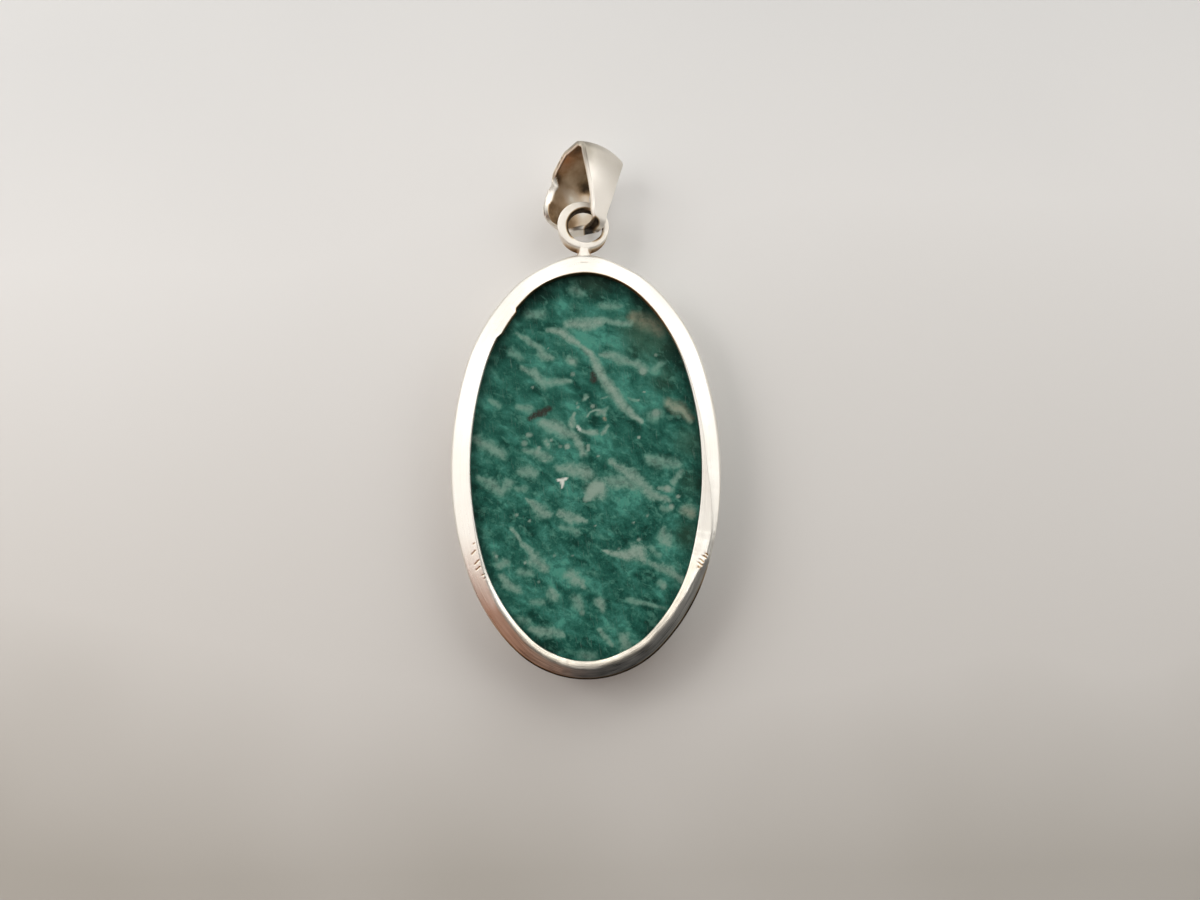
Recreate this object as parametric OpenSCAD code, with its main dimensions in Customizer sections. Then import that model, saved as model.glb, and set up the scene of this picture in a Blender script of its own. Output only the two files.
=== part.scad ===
// Oval pendant: an open-backed silver setting, a low amazonite cabochon and a folded bail.
// It lies face down, with its back to +Z and the bail towards +Y.

/* [Setting] */
// Length of the oval, without the top ring
setting_l = 40.3; // [38:0.1:44]
// Width of the oval
setting_w = 25.8; // [24:0.1:27]
// Height from the front rim to the crest of the back rim
setting_h = 6.4; // [6.2:0.1:8]
// Width of the back rim
rim_w = 2.0; // [1.8:0.05:2.4]
// Fall of the back rim from its crest to the outside, in degrees
rim_fall = 22; // [12:1:28]
// Radius of the crest along the opening
crest_r = 0.22; // [0.15:0.01:0.3]
// Radius of the shoulder where the rim meets the side
shoulder_r = 0.5; // [0.3:0.05:0.7]
// Height of the crest above the underside of the rim
ledge_t = 0.65; // [0.5:0.05:0.8]
// Thickness of the side wall
wall_t = 1.05; // [0.8:0.05:1.2]
// Width of the front rim
front_w = 1.5; // [1.4:0.05:1.8]
// Height of the front rim's inner edge
front_t = 1.2; // [0.9:0.05:1.4]
// Radius of the front rim's outer edge
front_r = 0.4; // [0.2:0.05:0.5]

/* [Top ring] */
// Radius of the ring at the middle of its wire
ring_r = 2.08; // [2.06:0.01:2.12]
// Width of the wire as seen from the back
ring_w = 0.9; // [0.8:0.05:0.95]
// Depth of the wire
ring_h = 1.1; // [0.9:0.05:1.15]
// Radius of the wire's edges
ring_edge_r = 0.36; // [0.2:0.02:0.38]
// Height of the ring's middle above the table
ring_z = 4.6; // [4.55:0.01:4.65]
// Distance from the oval to the middle of the ring
ring_gap = 3.35; // [3.3:0.01:3.4]
// Sideways shift of the ring
ring_shift = 0.08; // [0.05:0.01:0.12]
// Downward lean of the ring's far side, in degrees
ring_lean = 2; // [0:1:4]
// Sideways lean of the ring to the right, in degrees
ring_side_lean = 9; // [7:1:11]
// Width of the neck of solder at the ring
neck_w = 1.2; // [0.9:0.1:1.4]
// Width of the neck of solder at the setting
neck_foot_w = 2.0; // [1.5:0.1:2.6]

/* [Stone] */
// Gap between the stone and the silver
fit_gap = 0.05; // [0.03:0.01:0.1]
// Height of the stone's domed front
dome_h = 1.2; // [0.8:0.05:1.4]
// Height of the dome's top above the table
dome_clear = 0.15; // [0.1:0.05:0.3]

/* [Bail] */
// Thickness of the silver band
bail_t = 0.55; // [0.45:0.05:0.65]
// Length from the middle of the tip to the middle of the fold
bail_l = 5.5; // [5.4:0.1:5.7]
// Width of the bail at the fold
bail_w = 5.5; // [5.2:0.1:5.6]
// Width of the back leaf where it meets the ring
bail_tip_w = 1.8; // [1.6:0.05:1.9]
// Width of the strip that closes the loop through the ring
bail_strip_w = 1.35; // [1.1:0.05:1.45]
// Depth from the back leaf to the front leaf's lower lobe
bail_depth = 3.4; // [3.3:0.05:3.5]
// Width of the front leaf's lower lobe
bail_lobe_w = 6.3; // [5.9:0.1:6.4]
// Width of the front leaf's waist
bail_waist_w = 4.9; // [4.6:0.1:5.1]
// Sideways place of the bail's tip
bail_x = 1.04; // [1.03:0.01:1.06]
// Distance from the oval to the bail's tip
bail_gap = 4.79; // [4.77:0.01:4.81]
// Height of the bail's tip above the table
bail_z = 5.12; // [5.11:0.01:5.15]
// Pitch of the lying bail, in degrees
bail_pitch = 2.3; // [2:0.1:2.5]
// Roll of the lying bail about its length, in degrees
bail_roll = 45; // [44.5:0.1:45.5]
// Turn of the lying bail to the right, in degrees
bail_turn = 3.6; // [3:0.1:4]

/* [Hidden] */
silver = [0.83, 0.82, 0.80];
amazonite = [0.13, 0.42, 0.36];
facet_sag = 0.012;
edge_steps = 4;
small_sides = 36;
disc_sides = 48;
ring_sides = 72;
dome_turn_sides = 360;
dome_bow_sides = 720;

// The oval is made of eight arcs that meet at these angles from its long axis.
turn_a = 44.7;
turn_b = 73.2;
half_l = setting_l / 2;
half_w = setting_w / 2;
end_share = 0.376;
end_r = end_share * setting_w;
det = (cos(turn_b) - cos(turn_a)) * (1 - sin(turn_b)) + cos(turn_b) * (sin(turn_b) - sin(turn_a));
rest_l = end_r * (1 - cos(turn_a)) - half_l;
rest_w = half_w - end_r * sin(turn_a);
mid_r = (rest_l * (1 - sin(turn_b)) + cos(turn_b) * rest_w) / det;
side_r = ((cos(turn_b) - cos(turn_a)) * rest_w - (sin(turn_b) - sin(turn_a)) * rest_l) / det;
end_y = half_l - end_r;
mid_x = -(mid_r - end_r) * sin(turn_a);
mid_y = end_y - (mid_r - end_r) * cos(turn_a);
side_x = mid_x - (side_r - mid_r) * sin(turn_b);

// Each arc of the oval: its centre, its radius, where it starts and how far it turns.
oval_arcs = [
    [[0, end_y], end_r, 90 - turn_a, 2 * turn_a],
    [[-mid_x, mid_y], mid_r, 90 + turn_a, turn_b - turn_a],
    [[-side_x, 0], side_r, 90 + turn_b, 180 - 2 * turn_b],
    [[-mid_x, -mid_y], mid_r, 270 - turn_b, turn_b - turn_a],
    [[0, -end_y], end_r, 270 - turn_a, 2 * turn_a],
    [[mid_x, -mid_y], mid_r, 270 + turn_a, turn_b - turn_a],
    [[side_x, 0], side_r, 270 + turn_b, 180 - 2 * turn_b],
    [[mid_x, mid_y], mid_r, 90 - turn_b, turn_b - turn_a],
];

// Points along the oval, each with its arc's centre, radius and angle.
oval_spots = [
    for (a = oval_arcs)
        let (steps = ceil(a[3] * PI / 180 * sqrt(a[1] / (8 * facet_sag))))
            for (i = [0:steps - 1]) [a[0], a[1], a[2] + a[3] * i / steps]
];

// Height of the shoulder's centre, where the sloping rim touches both rounded edges.
shoulder_z = setting_h - crest_r
    + (sin(rim_fall) * (crest_r + shoulder_r - rim_w) + crest_r - shoulder_r) / cos(rim_fall);
front_edge = 0.3;
stone_inset = wall_t + fit_gap;
stone_back = setting_h - ledge_t - fit_gap;
dome_side_r = pow(half_w - stone_inset, 2) / (2 * dome_h);
dome_end_r = pow(half_l - stone_inset, 2) / (2 * dome_h);
neck_sink = 0.6;
ring_y = half_l + ring_gap;

// Distance from the middle of the oval to the middle of the whole length, which is the origin.
middle_y = 5.74;

// The bail's side view is a belt round four discs: along its length, through its depth, radius.
belly_back = 2.0;
tip_disc = [-0.2, 0.1, 1.19];
low_disc = [-0.23, 0.1 - bail_depth, 0.8];
belly_disc = [bail_l - belly_back, -2.44, 1.3];
fold_disc = [bail_l, 0.3, 1.01];
bail_discs = [tip_disc, low_disc, belly_disc, fold_disc];
lobe_corner_r = 1.3;
lobe_tip_r = 2.0;
lobe_corner_y = 0.6;
lobe_tip_y = 0.9;
lobe_l = 1.4;
waist_back = 1.9;
leaf_split = -2.5;
leaf_rise = 0.5;
strip_end = -0.6;
tip_start = 0.2;
reach = 12;

function arc(c, r, from, turn, steps) =
    [for (i = [0:steps]) c + r * [cos(from + turn * i / steps), sin(from + turn * i / steps)]];

// The straight run that touches two neighbouring discs of a belt.
function run_angle(a, b) =
    atan2(b[1] - a[1], b[0] - a[0]) - acos((a[2] - b[2]) / norm([b[0] - a[0], b[1] - a[1]]));
function touch(disc, angle) = [disc[0], disc[1]] + disc[2] * [cos(angle), sin(angle)];
function thinner(discs, t) = [for (d = discs) [d[0], d[1], d[2] - t]];

module belt(discs) {
    count = len(discs);
    polygon([
        for (i = [0:count - 1])
            let (a = discs[i], b = discs[(i + 1) % count], k = run_angle(a, b))
                each [touch(a, k), touch(b, k)]
    ]);
    for (d = discs)
        translate([d[0], d[1]])
            circle(d[2], $fn = disc_sides);
}

module oval(inset) {
    polygon([for (s = oval_spots) s[0] + (s[1] - inset) * [cos(s[2]), sin(s[2])]]);
}

// Carries a section round the oval; the section's x is zero at the outside and negative inwards.
module round_oval(section) {
    n = len(section);
    m = len(oval_spots);
    points = [
        for (s = oval_spots, p = section)
            [s[0][0] + (s[1] + p[0]) * cos(s[2]), s[0][1] + (s[1] + p[0]) * sin(s[2]), p[1]]
    ];
    faces = [
        for (k = [0:m - 1], i = [0:n - 1])
            let (a = k * n, b = (k + 1) % m * n, j = (i + 1) % n)
                [a + i, a + j, b + j, b + i]
    ];
    polyhedron(points, faces);
}

module frame() {
    round_oval(concat(
        arc([-front_r, front_r], front_r, -90, 90, edge_steps),
        arc([-shoulder_r, shoulder_z], shoulder_r, 0, 90 - rim_fall, edge_steps),
        arc([crest_r - rim_w, setting_h - crest_r], crest_r, 90 - rim_fall, 90 + rim_fall, edge_steps),
        [
            [-rim_w, setting_h - ledge_t],
            [-wall_t, setting_h - ledge_t],
            [-wall_t, front_t],
            [-front_w, front_t],
            [-front_w, front_edge],
            [front_edge - front_w, 0],
        ]
    ));
}

module ring_section() {
    x = ring_w / 2 - ring_edge_r;
    y = ring_h / 2 - ring_edge_r;
    polygon(concat(
        arc([x, y], ring_edge_r, 0, 90, edge_steps),
        arc([-x, y], ring_edge_r, 90, 90, edge_steps),
        arc([-x, -y], ring_edge_r, 180, 90, edge_steps),
        arc([x, -y], ring_edge_r, 270, 90, edge_steps)
    ));
}

module top_ring() {
    translate([ring_shift, ring_y, ring_z])
        rotate([0, ring_side_lean, 0])
            rotate([-ring_lean, 0, 0])
                rotate_extrude($fn = ring_sides)
                    translate([ring_r, 0])
                        ring_section();
}

module neck() {
    foot_y = half_l - neck_sink;
    translate([ring_shift, foot_y, ring_z])
        rotate([-90, 0, 0])
            cylinder(h = ring_y - ring_r - foot_y, d1 = neck_foot_w, d2 = neck_w, $fn = small_sides);
}

module setting() {
    color(silver)
        translate([0, -middle_y, 0]) {
            frame();
            top_ring();
            neck();
        }
}

module stone() {
    color(amazonite)
        translate([0, -middle_y, 0])
            intersection() {
                linear_extrude(stone_back)
                    oval(stone_inset);
                translate([0, 0, dome_clear + dome_side_r])
                    rotate([-90, 0, 0])
                        rotate_extrude($fn = dome_turn_sides)
                            dome_profile();
            }
}

// Half of a barrel, as wide as the dome is round from side to side and bowed from end to end.
module dome_profile() {
    intersection() {
        translate([0, -half_l])
            square([dome_side_r, setting_l]);
        translate([dome_side_r - dome_end_r, 0])
            circle(dome_end_r, $fn = dome_bow_sides);
    }
}

module band() {
    rotate([90, 0, 90])
        linear_extrude(2 * reach, center = true)
            difference() {
                belt(bail_discs);
                belt(thinner(bail_discs, bail_t));
            }
}

// One side of the slanting plane that parts the two leaves: 1 is the back leaf, -1 the front one.
module leaf_side(side) {
    rotate([90, 0, 90])
        linear_extrude(2 * reach, center = true)
            polygon([
                [-reach, leaf_split - leaf_rise * reach],
                [reach, leaf_split + leaf_rise * reach],
                [reach, side * 2 * reach],
                [-reach, side * 2 * reach],
            ]);
}

module back_outline() {
    polygon([
        [-bail_strip_w / 2, -reach],
        [bail_strip_w / 2, -reach],
        [bail_strip_w / 2, strip_end],
        [bail_tip_w / 2, tip_start],
        [bail_w / 2, bail_l],
        [bail_w / 2, reach],
        [-bail_w / 2, reach],
        [-bail_w / 2, bail_l],
        [-bail_tip_w / 2, tip_start],
        [-bail_strip_w / 2, strip_end],
    ]);
}

module front_outline() {
    corner_x = bail_lobe_w / 2 - lobe_corner_r;
    waist_y = bail_l - waist_back;
    belt([
        [-corner_x, lobe_corner_y, lobe_corner_r],
        [0, lobe_tip_y, lobe_tip_r],
        [corner_x, lobe_corner_y, lobe_corner_r],
        [corner_x, lobe_corner_y + lobe_l, lobe_corner_r],
        [-corner_x, lobe_corner_y + lobe_l, lobe_corner_r],
    ]);
    polygon([
        [-bail_waist_w / 2, 0],
        [bail_waist_w / 2, 0],
        [bail_waist_w / 2, waist_y],
        [bail_w / 2, bail_l],
        [bail_w / 2, reach],
        [-bail_w / 2, reach],
        [-bail_w / 2, bail_l],
        [-bail_waist_w / 2, waist_y],
    ]);
}

module leaves() {
    intersection() {
        band();
        union() {
            intersection() {
                leaf_side(1);
                linear_extrude(2 * reach, center = true)
                    back_outline();
            }
            intersection() {
                leaf_side(-1);
                linear_extrude(2 * reach, center = true)
                    front_outline();
            }
        }
    }
}

module bail() {
    color(silver)
        translate([bail_x, half_l + bail_gap - middle_y, bail_z])
            rotate([0, 0, -bail_turn])
                rotate([-bail_pitch, 0, 0])
                    rotate([0, bail_roll, 0])
                        leaves();
}

setting();
stone();
bail();
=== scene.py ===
"""Looks of the amazonite pendant: satin silver, the veined stone and the plain studio round it."""

import math

import bpy
import numpy as np
from mathutils import Matrix, Quaternion, Vector


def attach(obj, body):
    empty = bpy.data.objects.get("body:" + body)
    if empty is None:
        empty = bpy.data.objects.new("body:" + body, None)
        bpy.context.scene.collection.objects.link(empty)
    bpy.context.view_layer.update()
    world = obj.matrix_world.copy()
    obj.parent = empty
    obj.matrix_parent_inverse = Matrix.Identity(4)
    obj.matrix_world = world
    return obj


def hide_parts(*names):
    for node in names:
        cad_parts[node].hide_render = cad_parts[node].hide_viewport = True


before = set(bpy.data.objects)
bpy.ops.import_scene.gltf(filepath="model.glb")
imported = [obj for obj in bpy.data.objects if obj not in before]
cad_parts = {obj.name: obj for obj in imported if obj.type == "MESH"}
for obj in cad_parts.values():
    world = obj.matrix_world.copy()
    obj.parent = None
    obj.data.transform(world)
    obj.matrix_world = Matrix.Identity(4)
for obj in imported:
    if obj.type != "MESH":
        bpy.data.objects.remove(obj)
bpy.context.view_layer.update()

# Lengths are in millimetres in the oval's own frame, whose origin is the middle of the oval on the table.
MM = 0.001
MIDDLE_Y = 5.74
HALF_L = 20.15
HALF_W = 12.9
CREST_Z = 6.4
RIM_W = 2.0
RIM_FALL = 22
LEDGE_Z = 5.75
WALL_T = 1.05
FRONT_W = 1.5
FRONT_T = 1.2
FRONT_R = 0.4
FRONT_EDGE = 0.3
STONE_INSET = 1.1
STONE_BACK = 5.7
DOME_H = 1.2
DOME_CLEAR = 0.15
# A length or an angle that counts as nothing.
TINY = 1e-9


def to_row(points):
    """Points of the oval's frame in the row frame, in metres."""
    return (np.asarray(points, float) + [0, -MIDDLE_Y, 0]) * MM


# Helpers for meshes


def smoothstep(a, b, x):
    t = np.clip((np.asarray(x, float) - a) / (b - a), 0, 1)
    return t * t * (3 - 2 * t)


def bump(d, r):
    """A soft hill of height 1 and radius r."""
    return smoothstep(r, 0, np.abs(d))


def plateau(x, a, b, c, d):
    """1 from b to c, falling softly to 0 at a and at d."""
    return smoothstep(a, b, x) * smoothstep(d, c, x)


def part_way(ends, t):
    return ends[0] + (ends[1] - ends[0]) * t


def read_off(table, at):
    """The rows of a table at places along its first row."""
    return [np.interp(at, table[0], row) for row in table[1:]]


def add_object(name, data):
    obj = bpy.data.objects.new(name, data)
    bpy.context.scene.collection.objects.link(obj)
    return obj


class Noise:
    """Smooth seeded value noise on a plane, about 0 and within 1 of it."""

    def __init__(self, seed, size=64):
        self.table = np.random.default_rng(seed).uniform(-1, 1, (size, size))
        self.size = size

    def __call__(self, x, y):
        i, j = np.floor(x).astype(int), np.floor(y).astype(int)
        u, v = x - i, y - j
        u, v = u * u * (3 - 2 * u), v * v * (3 - 2 * v)
        n = self.size
        a, b = self.table[i % n, j % n], self.table[(i + 1) % n, j % n]
        c, d = self.table[i % n, (j + 1) % n], self.table[(i + 1) % n, (j + 1) % n]
        return (a * (1 - u) + b * u) * (1 - v) + (c * (1 - u) + d * u) * v


def make_mesh(name, points, quads, material, values=None):
    """A smooth-shaded object from points in the oval's frame, with named values at its points."""
    mesh = bpy.data.meshes.new(name)
    mesh.from_pydata(to_row(points).tolist(), [], [list(map(int, q)) for q in quads])
    mesh.polygons.foreach_set("use_smooth", [True] * len(mesh.polygons))
    for key, v in (values or {}).items():
        put_values(mesh, key, v)
    mesh.materials.append(material)
    return add_object(name, mesh)


def put_values(mesh, key, v):
    v = np.asarray(v, np.float32)
    if v.ndim == 1:
        mesh.attributes.new(key, "FLOAT", "POINT").data.foreach_set("value", v)
    else:
        mesh.attributes.new(key, "FLOAT_VECTOR", "POINT").data.foreach_set("vector", v.ravel())


def ring_quads(rows, cols, closed_rows=True, closed_cols=True):
    """Faces of a grid of points whose rows or columns may close on themselves."""
    out = []
    for i in range(rows if closed_rows else rows - 1):
        for j in range(cols if closed_cols else cols - 1):
            i2, j2 = (i + 1) % rows, (j + 1) % cols
            out.append((i * cols + j, i * cols + j2, i2 * cols + j2, i2 * cols + j))
    return out


def arc(cx, cy, r, start, turn, steps):
    a = np.radians(start + turn * np.arange(steps + 1) / steps)
    return np.stack([cx + r * np.cos(a), cy + r * np.sin(a)], 1)


def between(a, b, steps):
    """Points strictly between a and b."""
    t = (np.arange(1, steps) / steps)[:, None]
    return np.asarray(a) * (1 - t) + np.asarray(b) * t


# The oval

TURN_A, TURN_B = math.radians(44.7), math.radians(73.2)
END_R = 0.376 * 2 * HALF_W


def oval_arcs():
    """Centre, radius, start and turn of the eight arcs of the oval."""
    sa, ca, sb, cb = math.sin(TURN_A), math.cos(TURN_A), math.sin(TURN_B), math.cos(TURN_B)
    det = (cb - ca) * (1 - sb) + cb * (sb - sa)
    rest_l = END_R * (1 - ca) - HALF_L
    rest_w = HALF_W - END_R * sa
    mid_r = (rest_l * (1 - sb) + cb * rest_w) / det
    side_r = ((cb - ca) * rest_w - (sb - sa) * rest_l) / det
    end_y = HALF_L - END_R
    mid_x, mid_y = -(mid_r - END_R) * sa, end_y - (mid_r - END_R) * ca
    side_x = mid_x - (side_r - mid_r) * sb
    q, a, b = math.pi / 2, TURN_A, TURN_B
    return [
        ((0, end_y), END_R, q - a, 2 * a),
        ((-mid_x, mid_y), mid_r, q + a, b - a),
        ((-side_x, 0), side_r, q + b, 2 * (q - b)),
        ((-mid_x, -mid_y), mid_r, 3 * q - b, b - a),
        ((0, -end_y), END_R, 3 * q - a, 2 * a),
        ((mid_x, -mid_y), mid_r, 3 * q + a, b - a),
        ((side_x, 0), side_r, 3 * q + b, 2 * (q - b)),
        ((mid_x, mid_y), mid_r, q - b, b - a),
    ]


def oval_spots(step, fine=(), fine_step=0.05):
    """Points on the oval and their outward directions, closer together near the spots listed in fine."""
    points, ways = [], []
    for (cx, cy), r, start, turn in oval_arcs():
        t = 0.0
        while t < turn - TINY:
            way = np.array([math.cos(start + t), math.sin(start + t)])
            p = np.array([cx, cy]) + r * way
            points.append(p)
            ways.append(way)
            near = any(math.hypot(p[0] - x, p[1] - y) < reach for x, y, reach in fine)
            t += (fine_step if near else step) / r
    return np.array(points), np.array(ways)


# Materials


class Nodes:
    """Short calls for building a material's nodes."""

    def __init__(self, name):
        self.material = bpy.data.materials.new(name)
        self.material.use_nodes = True
        self.tree = self.material.node_tree
        self.shader = next(n for n in self.tree.nodes if n.type == "BSDF_PRINCIPLED")

    def new(self, kind, inputs=None, **settings):
        node = self.tree.nodes.new(kind)
        for key, value in settings.items():
            setattr(node, key, value)
        for key, value in (inputs or {}).items():
            self.put(node, key, value)
        return node

    def put(self, node, key, value):
        if isinstance(value, bpy.types.NodeSocket):
            self.tree.links.new(value, node.inputs[key])
        else:
            node.inputs[key].default_value = value

    def set(self, **values):
        for key, value in values.items():
            self.put(self.shader, key.replace("_", " "), value)

    def value(self, key):
        return self.new("ShaderNodeAttribute", attribute_name=key).outputs["Fac"]

    def vector(self, key):
        return self.new("ShaderNodeAttribute", attribute_name=key).outputs["Vector"]

    def vector_math(self, operation, inputs):
        return self.new("ShaderNodeVectorMath", inputs, operation=operation).outputs[0]

    def scaled(self, colour, by):
        return self.vector_math("SCALE", {0: colour, 3: by})

    def place(self, scale=(1, 1, 1), turn=0.0, source=None):
        """Object coordinates in millimetres, turned about Z and then scaled."""
        if source is None:
            raw = self.new("ShaderNodeTexCoord").outputs["Object"]
            source = self.vector_math("MULTIPLY", {0: raw, 1: (1 / MM,) * 3})
        turned = self.new(
            "ShaderNodeVectorRotate", {"Vector": source, "Angle": math.radians(turn)}, rotation_type="Z_AXIS"
        )
        return self.vector_math("MULTIPLY", {0: turned.outputs[0], 1: scale})

    def noise(self, where, scale, detail=4.0, rough=0.5, warp=0.0):
        return self.new(
            "ShaderNodeTexNoise",
            {"Vector": where, "Scale": scale, "Detail": detail, "Roughness": rough, "Distortion": warp},
        ).outputs["Fac"]

    def math(self, operation, a, b=0.0, clamp=False):
        node = self.new("ShaderNodeMath", {0: a, 1: b}, operation=operation)
        node.use_clamp = clamp
        return node.outputs[0]

    def map(self, value, from_min, from_max, to_min=0.0, to_max=1.0):
        return self.new(
            "ShaderNodeMapRange",
            {"Value": value, "From Min": from_min, "From Max": from_max, "To Min": to_min, "To Max": to_max},
        ).outputs[0]

    def mix(self, factor, a, b):
        node = self.new("ShaderNodeMix", data_type="RGBA")
        for index, v in ((0, factor), (6, a), (7, b)):
            if isinstance(v, bpy.types.NodeSocket):
                self.tree.links.new(v, node.inputs[index])
            else:
                node.inputs[index].default_value = (*v, 1.0) if isinstance(v, tuple) else v
        return node.outputs[2]

    def stained(self, key, grain, reach, share, base, stain):
        """The base with a stain where the named value is, broken up by the grain."""
        broken = self.map(grain, *reach, *share)
        return self.mix(self.math("MULTIPLY", self.value(key), broken, clamp=True), base, stain)

    def ramp(self, value, stops):
        node = self.new("ShaderNodeValToRGB", {"Fac": value})
        ends = node.color_ramp.elements
        while len(ends) < len(stops):
            ends.new(0.5)
        for end, (place, colour) in zip(ends, stops):
            end.position, end.color = place, (*colour, 1)
        return node.outputs["Color"]

    def blend(self, *parts):
        """The sum of values, each times its share."""
        total = None
        for share, value in parts:
            part = self.math("MULTIPLY", value, share)
            total = part if total is None else self.math("ADD", total, part)
        return total

    def relief(self, height, distance, strength=1.0, under=None):
        inputs = {"Height": height, "Distance": distance, "Strength": strength}
        if under is not None:
            inputs["Normal"] = under
        return self.new("ShaderNodeBump", inputs).outputs["Normal"]


SILVER = (0.83, 0.805, 0.745)
WARM_SILVER = (0.81, 0.765, 0.68)
SATIN_SILVER = (0.84, 0.8, 0.735)
# Tarnish and painted shade, from a thin tint to a thick crust or deep shade: place on the ramp and colour.
TARNISH_AND_SHADE_RAMP = [
    (0.0, (0.8, 0.745, 0.64)),
    (0.25, (0.61, 0.48, 0.33)),
    (0.5, (0.32, 0.224, 0.13)),
    (0.75, (0.125, 0.088, 0.054)),
    (1.0, (0.022, 0.016, 0.011)),
]
EMBER = (0.4, 0.165, 0.06)
# Silver darkened to grey by painted shade.
SHADED_SILVER = (0.34, 0.31, 0.26)


def silver_material(name, brushed):
    """Satin silver with fine scratches along the metal, faint stains, brown where it is tarnished and darker
    where shade is painted on.
    """
    n = Nodes(name)
    where = n.place()
    stain = n.map(n.noise(where, 0.35, 5.0, 0.6), 0.45, 0.75, 0.0, 0.55 if brushed else 0.9)
    clean = n.mix(stain, SILVER if brushed else SATIN_SILVER, WARM_SILVER)
    patchy = n.map(n.noise(where, 1.3, 4.0, 0.6), 0.3, 0.7, 0.82, 1.15)
    # The value carries real tarnish and painted shade alike.
    tarnish_and_shade = n.math("MULTIPLY", n.value("tarnish_and_shade"), patchy, clamp=True)
    dark = n.ramp(tarnish_and_shade, TARNISH_AND_SHADE_RAMP)
    dark = n.mix(n.value("ember"), dark, EMBER)
    colour = n.mix(n.map(tarnish_and_shade, 0.0, 0.08), clean, dark)
    if brushed:
        broad = n.noise(n.place((4.2, 0.9, 0.9), source=n.vector("brush")), 1.0, 3.0, 0.6)
        lines = n.noise(n.place((14.0, 1.0, 1.0), source=n.vector("brush")), 1.0, 3.0, 0.6)
        fine = n.noise(n.place((46.0, 2.2, 2.2), source=n.vector("brush")), 1.0, 2.0, 0.6)
        rough = n.map(n.blend((0.6, lines), (0.4, broad)), 0.3, 0.7, 0.24, 0.4)
        worn = n.map(n.blend((0.5, broad), (0.5, lines)), 0.35, 0.65, 0.92, 1.04)
        streaks = n.map(n.blend((0.45, broad), (0.4, lines), (0.15, fine)), 0.4, 0.6, -0.34, 0.2)
        worn = n.math("ADD", worn, n.math("MULTIPLY", streaks, n.value("streaky")))
        colour = n.scaled(colour, worn)
        normal = n.relief(n.blend((0.6, lines), (0.4, fine)), 0.00001, 1.0)
        normal = n.relief(broad, 0.00003, 0.5, normal)
        n.set(Anisotropic=0.6, Tangent=n.vector("across"))
    else:
        rough = n.map(n.noise(where, 2.0, 4.0, 0.6), 0.3, 0.7, 0.36, 0.5)
        rough = n.math("ADD", rough, n.math("MULTIPLY", n.value("rough"), 0.16))
        lines = n.noise(n.place((1.2, 9.0, 9.0), 20.0), 1.0, 3.0, 0.6)
        normal = n.relief(lines, 0.00001, 0.3)
        normal = n.relief(n.noise(where, 3.5, 4.0, 0.6), 0.00002, 0.3, normal)
        # Painted shade where the named value is, mixing the silver towards a darker grey.
        colour = n.mix(n.value("painted_shade"), colour, SHADED_SILVER)
    n.set(Base_Color=colour, Metallic=1.0)
    n.set(Roughness=n.math("ADD", rough, n.math("MULTIPLY", tarnish_and_shade, 0.2)), Normal=normal)
    return n.material


STREAK_TURN = 36.0
# The stone's body from its deepest to its lightest green: place on the ramp and colour.
BODY_RAMP = [
    (0.0, (0.004, 0.038, 0.027)),
    (0.25, (0.009, 0.068, 0.05)),
    (0.5, (0.018, 0.102, 0.075)),
    (0.75, (0.032, 0.15, 0.115)),
    (1.0, (0.056, 0.229, 0.174)),
]
CLOUD = (0.082, 0.24, 0.18)
PALE = (0.238, 0.322, 0.266)
OLIVE = (0.04, 0.078, 0.048)
SAND = (0.3, 0.25, 0.17)
MARK = (0.03, 0.03, 0.024)
GLINT = (0.68, 0.7, 0.64)
# Painted shade in the corner round the stone, deepest at the top where the rim's shadow falls: how far in it
# reaches and how dark it is, at the sides and at the top.
CORNER_SHADE_W = (1.2, 2.3)
CORNER_SHADE = (0.28, 0.48)


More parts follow.
